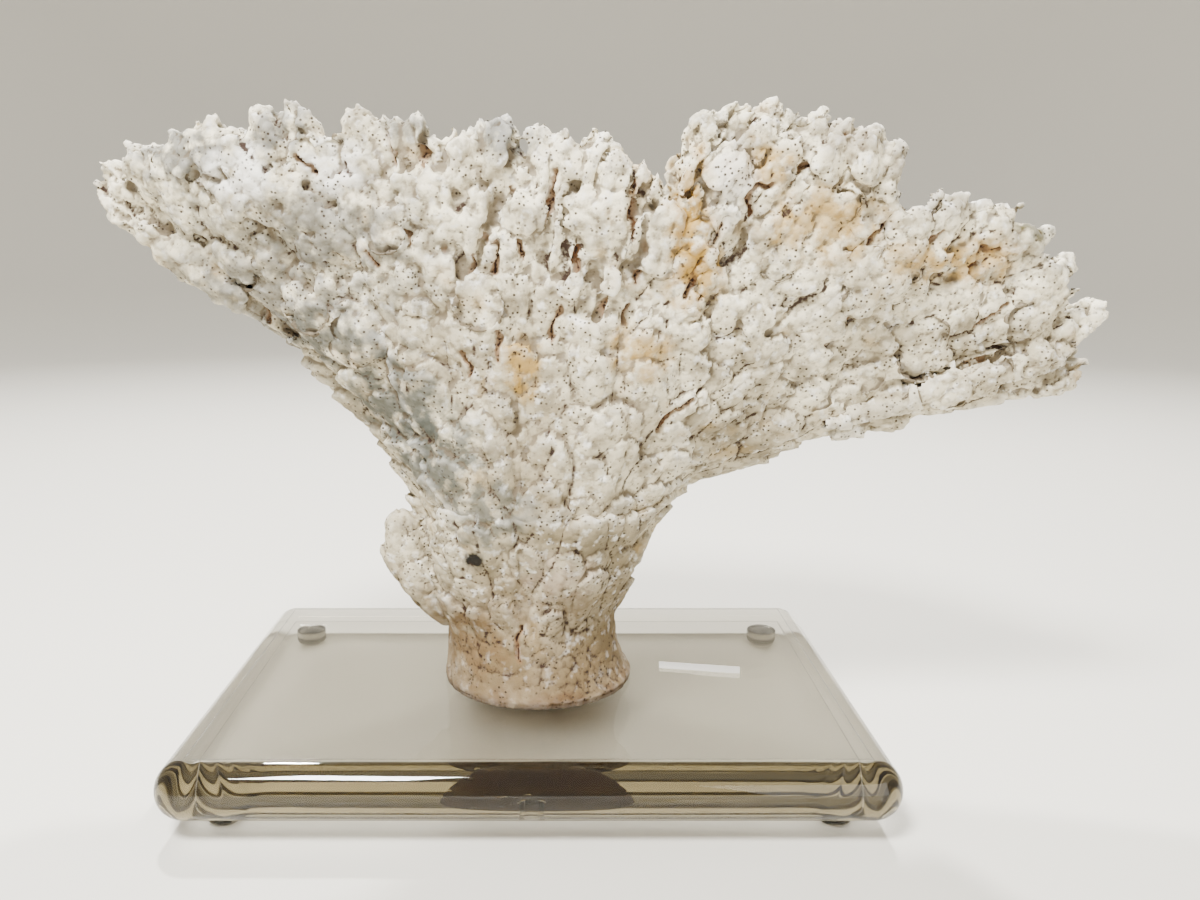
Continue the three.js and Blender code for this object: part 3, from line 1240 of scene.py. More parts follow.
def store(piece: bpy.types.Object, name: str, values: np.ndarray) -> None:
    """Write one number for each point of a mesh as an attribute."""
    attribute = piece.data.attributes.new(name, "FLOAT", "POINT")
    attribute.data.foreach_set("value", values.astype(np.float32))


# The finish paints shade into these hollows, and paints highlights on the crests, where the values
# fall below zero.
# For each kind of hollow, how many roundings fill it, and the depth in millimetres that is one.
HOLLOWS = {"hollow_fine": (3, 0.25), "hollow_deep": (24, 1.5)}


def store_hollows(piece: bpy.types.Object) -> None:
    """Write two attributes: fine hollows between buds, and deep ones between lobes.

    Args:
        piece: the finished skin.
    """
    cloud = Cloud.of(piece)
    edges = edges_of(piece)
    for name, (rounds, scale_mm) in HOLLOWS.items():
        depth = ((smoothed(cloud.points, edges, rounds) - cloud.points) * cloud.normals).sum(1)
        store(piece, name, depth / (scale_mm * MM))


@dataclass
class Colony:
    """The whole coral as one skin, which every piece of it takes its surface from.

    Attributes:
        nodes: the names of the coral's solids.
        voxel_mm: grain of the skin.
        smoothings: how often it is smoothed.
        touch_mm: how near two solids are where they count as touching.
    """

    nodes: list[str]
    voxel_mm: float = 1.8
    smoothings: int = 6
    touch_mm: float = 0.8

    def __post_init__(self) -> None:
        """Fuse the solids into one skin and lay out all that grows on it."""
        self.solids = {name: Cloud.of(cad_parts[name]) for name in self.nodes}
        skin = Cloud.joined(list(self.solids.values())).to_object("whole_coral")
        apply_modifier(skin, "REMESH", mode="VOXEL", voxel_size=self.voxel_mm * MM)
        keep_largest(skin)
        apply_modifier(skin, "SMOOTH", factor=0.5, iterations=self.smoothings)
        self.whole = Cloud.of(skin)
        self.tree = self.whole.index()
        bpy.data.objects.remove(skin)
        surface = BVHTree.FromPolygons(self.whole.points.tolist(), self.whole.triangles.tolist())
        self.layers = [(layer, layer.sites(self.whole)) for layer in (SWELLS, PLATES)]
        self.cutter = SlitCutter()
        self.slits = self.cutter.paths(self.whole, self.tree, surface)
        self.finger = Finger().model()
        self.fingers, self.roots = Fingers().grow(self.finger, self.whole)
        self.homes = self.home_of(self.roots)

    def home_of(self, places: np.ndarray) -> np.ndarray:
        """The number of the solid that each place lies on.

        Args:
            places: a row for each place.

        Returns:
            One number for each place.
        """
        trees = [
            BVHTree.FromPolygons(solid.points.tolist(), solid.triangles.tolist())
            for solid in self.solids.values()
        ]
        distance = [
            [tree.find_nearest(place)[3] for tree in trees] for place in places.tolist()
        ]
        return np.argmin(np.array(distance), axis=1)

    def fingers_on(self, node: str) -> Cloud | None:
        """The fingers that grow on one solid.

        Args:
            node: the solid's name.

        Returns:
            The fingers as one cloud, or nothing where none grow.
        """
        number = list(self.solids).index(node)
        chosen = np.flatnonzero(self.homes == number)
        if not len(chosen):
            return None
        size = len(self.finger.points)
        points = self.fingers.points.reshape(-1, size, 3)[chosen].reshape(-1, 3)
        steps = np.arange(len(chosen))[:, None, None] * size
        triangles = (self.finger.triangles[None] + steps).reshape(-1, 3)
        return Cloud(points, triangles.astype(np.int32))

    def beside_others(self, node: str, points: np.ndarray, reach_mm: float) -> np.ndarray:
        """How near each point is to another solid: one when touching, none beyond a reach.

        Args:
            node: the name of the points' own solid.
            points: a row for each point.
            reach_mm: how far it looks.

        Returns:
            One share for each point.
        """
        others = Cloud.joined([solid for name, solid in self.solids.items() if name != node])
        tree = BVHTree.FromPolygons(others.points.tolist(), others.triangles.tolist())
        reach = reach_mm * MM
        found = [tree.find_nearest(point, reach)[3] for point in points.tolist()]
        distance = np.array([reach if gap is None else gap for gap in found])
        return 1 - ease(distance, self.touch_mm * MM, reach)

    def ground(self, points: np.ndarray) -> tuple[np.ndarray, np.ndarray]:
        """The whole skin below each point.

        Args:
            points: a row for each point.

        Returns:
            The skin's normal there, and how deep the point lies inside it.
        """
        nearest = np.array([self.tree.find(point)[1] for point in points.tolist()])
        normals = self.whole.normals[nearest]
        return normals, ((self.whole.points[nearest] - points) * normals).sum(1)


@dataclass
class CoralPiece:
    """One piece of the coral, from its solid in the frame to its fused skin.

    Attributes:
        node: the solid's name.
        slot: the record's material slot; not used.
        voxel_mm: grain of the fused skin.
        shrink_mm: how far the solid is drawn in before the lobes are raised on it.
        swell: how strongly the long swells show.
        smoothings: how often the fused skin is smoothed.
        buried_mm: below the whole coral's skin, where the lobes fade and where they end.
        proud_mm: above it, where they begin to fade and where they are weakest, as on fingers.
        proud_fade: how much of them is then gone.
        least_lobe_mm: how high a lobe is before its edge counts as one.
        foot_hollows: how deep the hollows are at the cut foot, against those elsewhere.
        kerf_reach_mm: how far from a kerf the skin bends towards it.
        kerf_lap_mm: how far the skin laps over a kerf.
        kerf_swing_mm: how much that lap swings, so that its edge is wavy.
        kerf_wave_mm: the length of that wave.
        kerf_dive_mm: how far the lap dives under its neighbour.
        bumps_mm: distance between the small buds and the grains, and how far they rise.
        bud_shares: how much of that shows at the foot, trunk, fronds and rim.
        saw_mm: how far above the cut foot its points are still flattened.
    """

    node: str
    slot: str
    voxel_mm: float
    shrink_mm: float = 3.4
    swell: float = 1.0
    smoothings: int = 2
    buried_mm: tuple[float, float] = (1.5, 4.0)
    proud_mm: tuple[float, float] = (0.5, 3.0)
    proud_fade: float = 0.8
    least_lobe_mm: float = 0.3
    foot_hollows: float = 0.3
    kerf_reach_mm: float = 5.0
    kerf_lap_mm: float = 2.2
    kerf_swing_mm: float = 1.2
    kerf_wave_mm: float = 11.0
    kerf_dive_mm: float = 0.9
    bumps_mm: dict[str, tuple[float, float]] = field(
        default_factory=lambda: {"buds": (4.8, 2.2), "grain": (2.1, 0.5)}
    )
    bud_shares: tuple[float, float, float, float] = (0.4, 0.45, 0.55, 0.9)
    saw_mm: float = 1.4

    def build(self, colony: Colony, material: bpy.types.Material) -> None:
        """Make the piece and hand it over.

        Args:
            colony: the whole coral.
            material: the coral's finish.
        """
        skin = self.fused(colony)
        self.raise_surface(skin, colony)
        self.add_buds(skin)
        self.saw_foot(skin)
        store_hollows(skin)
        only(skin)
        bpy.ops.object.shade_smooth()
        dress(skin, material)
        hand_over(skin, self.node)

    def fused(self, colony: Colony) -> bpy.types.Object:
        """The solid's own form and the fingers that grow on it, fused into one skin.

        Args:
            colony: the whole coral.

        Returns:
            The fused skin.
        """
        parts = [colony.solids[self.node]]
        fingers = colony.fingers_on(self.node)
        if fingers is not None:
            parts.append(fingers)
        skin = Cloud.joined(parts).to_object(f"{self.node}_skin")
        apply_modifier(skin, "REMESH", mode="VOXEL", voxel_size=self.voxel_mm * MM)
        keep_largest(skin)
        apply_modifier(skin, "SMOOTH", factor=0.5, iterations=self.smoothings)
        return skin

    def raise_surface(self, skin: bpy.types.Object, colony: Colony) -> None:
        """Raise the lobes, sink the slits, and close the fork's kerfs.

        Args:
            skin: the fused skin.
            colony: the whole coral.
        """
        cloud = Cloud.of(skin)
        ground, depth = colony.ground(cloud.points)
        seen, dive = self.over_kerfs(cloud, ground, colony)
        tree = seen.index()
        buried = ease(depth / MM, *self.buried_mm)
        proud = ease(-depth / MM, *self.proud_mm)
        cover = (1 - buried) * (1 - self.proud_fade * proud)
        height = np.full(len(cloud.points), -self.shrink_mm * MM)
        lead = np.full(len(cloud.points), FAR_MM)
        for share, (layer, sites) in zip((self.swell, 1.0), colony.layers):
            rise, ahead = layer.relief(sites, seen, tree)
            height += rise * share
            lobed = rise > self.least_lobe_mm * MM
            lead = np.minimum(lead, np.where(lobed, ahead / MM, FAR_MM))
        far = colony.cutter.distances(colony.slits, seen, tree)
        height -= colony.cutter.depth_mm * MM * (1 - ease(far, *colony.cutter.edges_mm))
        level = GROWTH.zone(seen.points, self.foot_hollows, 1.0, 1.0, 1.0)
        height = np.where(height < 0, height * level, height)
        move_points(skin, seen.points + seen.normals * (height * cover)[:, None] - dive)
        # These two distances steer the finish's painted shade along the slits and below the plates'
        # lips.
        store(skin, "slit", far)
        store(skin, "edge", np.where(cover > 0.5, lead, FAR_MM))

    def over_kerfs(
        self, cloud: Cloud, ground: np.ndarray, colony: Colony
    ) -> tuple[Cloud, np.ndarray]:
        """Carry the skin over the fork's kerfs, with a wavy edge that dives under its neighbour.

        Args:
            cloud: the fused skin.
            ground: the whole coral's normal at each of its points.
            colony: the whole coral.

        Returns:
            The skin's new places with the directions to raise them in, and how far they dive.
        """
        beside = colony.beside_others(self.node, cloud.points, self.kerf_reach_mm)[:, None]
        guide = unit(cloud.normals * (1 - beside) + ground * beside)
        spread = (cloud.normals - dot(cloud.normals, ground) * ground) * beside
        slant = np.array([1.0, 0.4, 0.7])
        wave = np.sin(cloud.points @ slant * (math.tau / (self.kerf_wave_mm * MM)))
        lap = (self.kerf_lap_mm + self.kerf_swing_mm * wave) * MM
        dive = ground * np.linalg.norm(spread, axis=1, keepdims=True) * (self.kerf_dive_mm * MM)
        return Cloud(cloud.points + spread * lap[:, None], cloud.triangles, guide), dive

    def add_buds(self, skin: bpy.types.Object) -> None:
        """Give the skin its small round buds, fullest towards the rim, and a finer grain.

        Args:
            skin: the raised skin.
        """
        plain = Cloud.of(skin).points
        for name, (size_mm, rise_mm) in self.bumps_mm.items():
            texture = bpy.data.textures.new(name, "VORONOI")
            texture.noise_scale = size_mm * MM
            texture.distance_metric = "DISTANCE_SQUARED"
            sunk = -rise_mm * MM
            apply_modifier(skin, "DISPLACE", texture=texture, strength=sunk, mid_level=0.25)
        budded = Cloud.of(skin).points
        share = GROWTH.zone(plain, *self.bud_shares)[:, None]
        move_points(skin, plain + (budded - plain) * share)

    def saw_foot(self, skin: bpy.types.Object) -> None:
        """Flatten the sawn face, which is glued to the slab.

        Args:
            skin: the budded skin.
        """
        points = Cloud.of(skin).points
        sawn = points[:, 2] < GROWTH.foot_z + self.saw_mm * MM
        points[sawn, 2] = GROWTH.glue_z
        move_points(skin, points)


CORAL_PIECES = [
    CoralPiece("coral_stalk", "coral_stalk_skeleton", 0.82),
    CoralPiece("coral_side_knob", "coral_stalk_skeleton", 0.75, 1.4, 0.0),
    CoralPiece("coral_left_fan", "coral_skeleton", 0.95),
    CoralPiece("coral_centre_fan", "coral_skeleton", 1.1),
    CoralPiece("coral_upper_right_lobe", "coral_skeleton", 0.85),
    CoralPiece("coral_right_fan", "coral_skeleton", 1.0),
    CoralPiece("coral_back_fan", "coral_skeleton", 1.5),
]


def build_coral() -> None:
    """Make every piece of the coral."""
    colony = Colony([piece.node for piece in CORAL_PIECES])
    finish = BleachedAragonite().build()
    for piece in CORAL_PIECES:
        piece.build(colony, finish)


# ------------------------------------------------------------------ the coral's finish


@dataclass(frozen=True)
class Stain:
    """A soft-edged patch of colour.

    Attributes:
        colour: what it tints towards.
        centre_mm: its middle.
        radii_mm: its reach along each axis.
        strength: how strong it is at its middle.
    """

    colour: str
    centre_mm: tuple[float, float, float]
    radii_mm: tuple[float, float, float]
    strength: float


# Grey painted shade over the upper left fan and in the recess along its rim.
GREY_PAINTED_SHADE = "5f5e58"
# Blue-grey painted shade, laid over the shaded valley of the left fan.
BLUE_GREY_PAINTED_SHADE = "4a4d46"
OCHRE = "ab8534"
TAN = "6e5738"
OLIVE = "5d5636"
WHITE = "f4f1e8"
DUST = "8f8370"
DARK_DUST = "6f6552"
DULL_PINK = "a08a78"
# Near-black painted shade for a dark hole on the left of the trunk, painted rather than modelled.
HOLE_PAINTED_SHADE = "15130e"

STAINS_AND_PAINTED_SHADE = [
    # painted shade: grey patches along the left fan's rim and over the left fan
    Stain(GREY_PAINTED_SHADE, (-172, -48, 276), (38, 40, 18), 0.82),
    Stain(GREY_PAINTED_SHADE, (-128, -60, 284), (22, 40, 14), 0.77),
    Stain(GREY_PAINTED_SHADE, (-77, -68, 284), (16, 40, 14), 0.72),
    Stain(GREY_PAINTED_SHADE, (-41, -70, 281), (18, 40, 16), 0.87),
    Stain(GREY_PAINTED_SHADE, (-111, -57, 240), (44, 40, 26), 0.52),
    Stain(GREY_PAINTED_SHADE, (-130, -52, 236), (95, 70, 60), 0.5),
    Stain(GREY_PAINTED_SHADE, (-150, -40, 205), (75, 70, 40), 0.45),
    # painted shade: blue-grey patches over the shaded valley on the left
    Stain(BLUE_GREY_PAINTED_SHADE, (-90, -44, 174), (32, 60, 34), 0.85),
    Stain(BLUE_GREY_PAINTED_SHADE, (-72, -44, 150), (32, 60, 30), 0.85),
    Stain(BLUE_GREY_PAINTED_SHADE, (-50, -50, 128), (28, 60, 26), 0.7),
    Stain(BLUE_GREY_PAINTED_SHADE, (-120, -40, 200), (34, 60, 20), 0.6),
    Stain(OCHRE, (31, -68, 252), (14, 40, 34), 0.95),
    Stain(OCHRE, (33, -62, 226), (18, 40, 21), 0.9),
    Stain(OCHRE, (13, -56, 196), (18, 40, 18), 0.7),
    Stain(OCHRE, (-36, -58, 190), (12, 30, 21), 0.8),
    Stain(OCHRE, (57, -66, 268), (21, 40, 10), 0.75),
    Stain(OCHRE, (84, -60, 246), (34, 40, 21), 0.7),
    Stain(OCHRE, (150, -44, 232), (29, 40, 16), 0.7),
    Stain(OCHRE, (126, -44, 232), (29, 40, 13), 0.6),
    Stain(DUST, (88, -62, 280), (20, 40, 14), 0.6),
    Stain(DARK_DUST, (112, -60, 268), (10, 40, 14), 0.7),
    Stain(OLIVE, (176, -44, 250), (17, 50, 17), 1.0),
    Stain(WHITE, (-147, -55, 266), (20, 40, 14), 0.8),
    Stain(WHITE, (-108, -62, 268), (18, 40, 14), 0.7),
    Stain(WHITE, (45, -66, 262), (14, 40, 22), 0.6),
    Stain(DULL_PINK, (-20, -45, 97), (26, 40, 16), 0.4),
    # painted shade: a dark hole on the left of the trunk
    Stain(HOLE_PAINTED_SHADE, (-58, -41, 103), (6, 40, 8), 1.0),
    Stain(TAN, (-62, -31, 60), (28, 60, 28), 0.9),
    Stain(TAN, (-30, -40, 82), (30, 40, 16), 0.5),
]


class Speck(Enum):
    """The sizes of the coral's uneven patches: how wide in millimetres, and how detailed."""

    BROAD = (42.0, 2.0)
    WARM = (19.0, 4.0)
    BLOTCH = (13.0, 3.0)
    WOBBLE = (12.0, 3.0)
    PORE_PATCH = (11.0, 3.0)
    BREAK_UP = (7.0, 4.0)
    CREST = (4.6, 3.0)
    DUST = (3.4, 4.0)
    WANDER = (1.6, 2.0)
    # The real grain is about a tenth of a millimetre. It is drawn coarser, so that it shows.
    GRAIN = (0.8, 4.0)


@dataclass(frozen=True)
class Coat:
    """One thin coat of colour, which shows more as some value changes: used for stain marks and
    bleaching, and for painted shade and highlights.

    Attributes:
        colour: of the coat.
        start: the value at which it begins to show.
        end: the value at which it shows most, which may be lower than the start.
        most: how much of it then shows.
    """

    colour: str
    start: float = 0.0
    end: float = 1.0
    most: float = 1.0

    def lay(
        self, tree: bpy.types.NodeTree, under: bpy.types.NodeSocket, value: bpy.types.NodeSocket
    ) -> bpy.types.NodeSocket:
        """Lay the coat over the colour so far.

        Args:
            tree: the material's nodes.
            under: the colour so far.
            value: what decides how much of the coat shows.

        Returns:
            The colour with the coat on it.
        """
        share = add_node(
            tree,
            "ShaderNodeMapRange",
            {"Value": value, "From Min": self.start, "From Max": self.end, "To Max": self.most},
        )
        laid = add_node(
            tree,
            "ShaderNodeMix",
            {"Factor": share.outputs["Result"], "A": under, "B": linear(self.colour)},
            data_type="RGBA",
        )
        return laid.outputs["Result"]


# Coral skeleton, grown in the sea and bleached by the sun: it gives the eye soft, shadowless cream
# crests without any shine. Its colour also holds painted light: highlights on the crests, brown
# painted shade in the slits and under the plates' lips, and greyer painted shade in every hollow.
@dataclass(frozen=True)
class BleachedAragonite:
    """Dry coral skeleton: matt, chalky calcium carbonate, bleached cream with old stain marks, and
    painted shade and highlights in its colour.

    Attributes:
        clean: the lightest cream, which the colour turns to towards the rim.
        body: the common cream of the plates.
        shade: a greyer cream, in random blotches and as painted shade in the deep hollows.
        tan: the foot's stain.
        cut_edge: the dark edge of the sawn foot.
        painted_crevice_shade: painted shade, a dark brown in the fine hollows between the buds.
        slit: painted shade, the dark brown inside the slits and below each plate's lip.
        painted_slit_edge_shade: painted shade, a reddish brown along each slit, fading out from it.
        pore: painted shade, the dark inside a pore's pit.
        pore_mm: distance between pores.
        pore_unevenness: how far the pores leave a regular pattern.
        pit_depth_mm: depth of a pore.
        grain_depth_mm: depth of the chalky grain.
        roughness: of the chalky surface, which has no shine.
        specular: how strongly it reflects, as loose chalk does less than a solid face.
        foot_wobble_mm: how unevenly the foot's stain rises.
        grey_below_mm: from the foot up to where the cream begins to lighten.
        clean_above_mm: from the rim down to where the cream is lightest.
    """

    clean: str = "efe5c8"
    body: str = "7f7153"
    shade: str = "756a52"
    tan: str = "705a3c"
    cut_edge: str = "5b4228"
    painted_crevice_shade: str = "5a4c3a"
    slit: str = "2c1a10"
    painted_slit_edge_shade: str = "8a5c34"
    pore: str = "3b3025"
    pore_mm: float = 2.2
    pore_unevenness: float = 0.75
    pit_depth_mm: float = 0.6
    grain_depth_mm: float = 0.35
    roughness: float = 0.88
    specular: float = 0.3
    foot_wobble_mm: float = 24.0
    grey_below_mm: float = 62.0
    clean_above_mm: float = 40.0

    def build(self) -> bpy.types.Material:
        """Make the material.

        Returns:
            The finished material.
        """
        material, tree, shader = new_material("bleached_aragonite")
        place = add_node(tree, "ShaderNodeTexCoord").outputs["Object"]
        height = add_node(tree, "ShaderNodeSeparateXYZ", {"Vector": place}).outputs["Z"]
        patches = {
            speck: add_node(
                tree,
                "ShaderNodeTexNoise",
                {"Vector": place, "Scale": 1 / (speck.value[0] * MM), "Detail": speck.value[1]},
            ).outputs["Fac"]
            for speck in Speck
        }
        colour = self.mottle(tree, height, patches)
        colour = self.stains_and_painted_shade(tree, place, patches, colour)
        colour = self.foot(tree, height, patches, colour)
        colour = self.painted_shade_and_highlight(tree, patches, colour)
        coloured, bump = self.pores(tree, place, patches, colour)
        shader.inputs["Roughness"].default_value = self.roughness
        shader.inputs["Specular IOR Level"].default_value = self.specular
        tree.links.new(coloured, shader.inputs["Base Color"])
        tree.links.new(bump, shader.inputs["Normal"])
        return material

    def mottle(
        self,
        tree: bpy.types.NodeTree,
        height: bpy.types.NodeSocket,
        patches: dict[Speck, bpy.types.NodeSocket],
    ) -> bpy.types.NodeSocket:
        """Cream, lighter towards the rim and darker towards the foot, with white and greyer
        blotches at three sizes.

        Args:
            tree: the material's nodes.
            height: how high a place is.
            patches: the uneven patches of each size.

        Returns:
            The colour.
        """
        rise = add_node(
            tree,
            "ShaderNodeMapRange",
            {
                "Value": height,
                "From Min": GROWTH.foot_z + self.grey_below_mm * MM,
                "From Max": GROWTH.rim_z - self.clean_above_mm * MM,
                "To Max": 0.7,
            },
        )
        broad = add_node(
            tree,
            "ShaderNodeMapRange",
            {"Value": patches[Speck.BROAD], "From Min": 0.38, "From Max": 0.62, "To Max": 0.5},
        )
        lightened = add_node(
            tree,
            "ShaderNodeMath",
            {0: rise.outputs["Result"], 1: broad.outputs["Result"]},
            operation="ADD",
        )
        cream = add_node(
            tree,
            "ShaderNodeMix",
            {"Factor": lightened.outputs[0], "A": linear(self.body), "B": linear(self.clean)},
            data_type="RGBA",
        )
        colour = cream.outputs["Result"]
        for speck, coat in {
            Speck.BLOTCH: Coat(self.shade, 0.5, 0.64, 0.65),
            Speck.DUST: Coat(self.shade, 0.5, 0.66, 0.65),
            Speck.CREST: Coat(WHITE, 0.56, 0.7, 0.65),
            Speck.WARM: Coat(OCHRE, 0.6, 0.72, 0.35),
        }.items():
            colour = coat.lay(tree, colour, patches[speck])
        return colour

    def stains_and_painted_shade(
        self,
        tree: bpy.types.NodeTree,
        place: bpy.types.NodeSocket,
        patches: dict[Speck, bpy.types.NodeSocket],
        colour: bpy.types.NodeSocket,
    ) -> bpy.types.NodeSocket:
        """Lay each stain and each patch of painted shade over the colour, its edge broken up.

        Args:
            tree: the material's nodes.
            place: where on the coral.
            patches: the uneven patches of each size.
            colour: the colour so far.

        Returns:
            The stained colour.
        """
        break_up = add_node(
            tree,
            "ShaderNodeMapRange",
            {"Value": patches[Speck.BREAK_UP], "From Min": 0.3, "From Max": 0.7},
        )
        for stain in STAINS_AND_PAINTED_SHADE:
            mapped = add_node(
                tree,
                "ShaderNodeMapping",
                {
                    "Vector": place,
                    "Location": [value * MM for value in stain.centre_mm],
                    "Scale": [value * MM for value in stain.radii_mm],
                },
                vector_type="TEXTURE",
            )
            ball = add_node(
                tree,
                "ShaderNodeTexGradient",
                {"Vector": mapped.outputs["Vector"]},
                gradient_type="SPHERICAL",
            )
            patchy = add_node(
                tree,
                "ShaderNodeMath",
                {0: ball.outputs["Fac"], 1: break_up.outputs["Result"]},
                operation="MULTIPLY",
            )
            coat = Coat(stain.colour, 0.06, 0.34, stain.strength)
            colour = coat.lay(tree, colour, patchy.outputs[0])
        return colour

    def foot(
        self,
        tree: bpy.types.NodeTree,
        height: bpy.types.NodeSocket,
        patches: dict[Speck, bpy.types.NodeSocket],
        colour: bpy.types.NodeSocket,
    ) -> bpy.types.NodeSocket:
        """Stain the foot, darkest at the cut edge.

        Args:
            tree: the material's nodes.
            height: how high a place is.
            patches: the uneven patches of each size.
            colour: the colour so far.

        Returns:
            The stained colour.
        """
        wobble = add_node(
            tree,
            "ShaderNodeMath",
            {0: patches[Speck.WOBBLE], 1: self.foot_wobble_mm * MM},
            operation="MULTIPLY",
        )
        level = add_node(
            tree, "ShaderNodeMath", {0: height, 1: wobble.outputs[0]}, operation="SUBTRACT"
        ).outputs[0]
        low = GROWTH.foot_z
        colour = Coat(self.tan, low + 55 * MM, low - 4 * MM, 0.72).lay(tree, colour, level)
        return Coat(self.cut_edge, low - 6 * MM, low - 11 * MM, 0.7).lay(tree, colour, level)

    def painted_shade_and_highlight(
        self,
        tree: bpy.types.NodeTree,
        patches: dict[Speck, bpy.types.NodeSocket],
        colour: bpy.types.NodeSocket,
    ) -> bpy.types.NodeSocket:
        """Paint highlights on the crests, and paint shade in the hollows, below each plate's lip,
        and in and along the slits.

        Args:
            tree: the material's nodes.
            patches: the uneven patches of each size.
            colour: the colour so far.

        Returns:
            The colour with its painted shade and highlights.
        """
        fine, deep, edge, slit = (
            add_node(tree, "ShaderNodeAttribute", attribute_name=name).outputs["Fac"]
            for name in ("hollow_fine", "hollow_deep", "edge", "slit")
        )
        wander = add_node(
            tree,
            "ShaderNodeMapRange",
            {"Value": patches[Speck.WANDER], "From Min": 0.3, "From Max": 0.7, "To Max": 0.4},
        ).outputs["Result"]
        from_lip, from_slit = (
            add_node(tree, "ShaderNodeMath", {0: far, 1: wander}, operation="ADD").outputs[0]
            for far in (edge, slit)
        )
        beside_lip = add_node(
            tree, "ShaderNodeMapRange", {"Value": from_lip, "From Min": 0.62, "From Max": 0.3}
        )
        sheltered = add_node(
            tree,
            "ShaderNodeMapRange",
            {"Value": fine, "From Min": -0.1, "From Max": 0.5, "To Max": 0.95},
        )
        painted_lip_shade = add_node(
            tree,
            "ShaderNodeMath",
            {0: beside_lip.outputs["Result"], 1: sheltered.outputs["Result"]},
            operation="MULTIPLY",
        )
        for coat, value in [
            # painted highlight: lighter cream on the crests, where the skin bulges out
            (Coat(WHITE, -0.2, -1.6, 0.3), deep),
            # painted shade: greyer cream in the deep hollows between the lobes
            (Coat(self.shade, 0.1, 1.5, 0.7), deep),
            # painted shade: dark brown in the fine hollows between the buds
            (Coat(self.painted_crevice_shade, 0.3, 1.6, 0.65), fine),
            # painted shade: a dark brown line below each plate's lip, where it is sheltered
            (Coat(self.slit), painted_lip_shade.outputs[0]),
            # painted shade: reddish brown along each slit, fading out from it
            (Coat(self.painted_slit_edge_shade, 1.9, 0.7, 0.4), from_slit),
            # painted shade: dark brown inside each slit
            (Coat(self.slit, 0.8, 0.55), from_slit),
        ]:
            colour = coat.lay(tree, colour, value)
        return colour

    def pores(
        self,
        tree: bpy.types.NodeTree,
        place: bpy.types.NodeSocket,
        patches: dict[Speck, bpy.types.NodeSocket],
        colour: bpy.types.NodeSocket,
    ) -> tuple[bpy.types.NodeSocket, bpy.types.NodeSocket]:
        """Small pores in patches, as pits with painted shade for their dark insides, and a chalky
        grain.

        Args:
            tree: the material's nodes.
            place: where on the coral.
            patches: the uneven patches of each size.
            colour: the colour so far.

        Returns:
            The colour and the bumped normal.
        """
        cells = add_node(
            tree,
            "ShaderNodeTexVoronoi",
            {"Vector": place, "Scale": 1 / (self.pore_mm * MM), "Randomness": self.pore_unevenness},
        )
        round_pit = add_node(
            tree,
            "ShaderNodeMapRange",
            {"Value": cells.outputs["Distance"], "From Min": 0.28, "From Max": 0.16},
        )
        pitted = add_node(
            tree,
            "ShaderNodeMapRange",
            {"Value": patches[Speck.PORE_PATCH], "From Min": 0.4, "From Max": 0.55, "To Max": 0.95},
        )
        pit = add_node(
            tree,
            "ShaderNodeMath",
            {0: round_pit.outputs["Result"], 1: pitted.outputs["Result"]},
            operation="MULTIPLY",
        ).outputs[0]
        level = add_node(
            tree, "ShaderNodeMapRange", {"Value": pit, "From Min": 1.0, "From Max": 0.0}
        )
        grain = add_node(
            tree,
            "ShaderNodeBump",
            {
                "Height": patches[Speck.GRAIN],
                "Strength": 0.6,
                "Distance": self.grain_depth_mm * MM,
            },
        )
        bumped = add_node(
            tree,
            "ShaderNodeBump",
            {
                "Height": level.outputs["Result"],
                "Strength": 0.8,
                "Distance": self.pit_depth_mm * MM,
                "Normal": grain.outputs["Normal"],
            },
        )
        # painted shade: the dark inside each pore's pit
        return Coat(self.pore).lay(tree, colour, pit), bumped.outputs["Normal"]


# ------------------------------------------------------------------ the studio


@dataclass(frozen=True)
class Lamp:
    """One oblong soft light.

    Attributes:
        name: what it is called.
        place: where it hangs.
        size: its width and height.
        watts: its power.
    """

    name: str
    place: tuple[float, float, float]
    size: tuple[float, float]
    watts: float

    def hang(self, target: Vector) -> None:
        """Add the light, out of the camera's sight, so that it faces a point.

        Args:
            target: what it faces.
        """
        turn = (target - Vector(self.place)).to_track_quat("-Z", "Y").to_euler()
        bpy.ops.object.light_add(type="AREA", location=self.place, rotation=turn)
        light = bpy.context.object
        light.name = self.name
        light.visible_camera = False
        light.data.shape = "RECTANGLE"
        light.data.size, light.data.size_y = self.size
        light.data.energy = self.watts


LAMPS = [
    Lamp("key", (-0.35, -0.65, 1.1), (0.3, 0.3), 46),
    Lamp("fill", (0.9, -1.5, 0.6), (1.2, 1.2), 12),
    Lamp("lamp_far_right", (0.48, 2.83, 1.23), (0.28, 0.022), 0.12),
    Lamp("lamp_near_right", (0.55, 0.95, 1.5), (0.1, 0.1), 48),
    Lamp("lamp_near_left", (-0.6, 0.95, 1.5), (0.1, 0.1), 48),
]


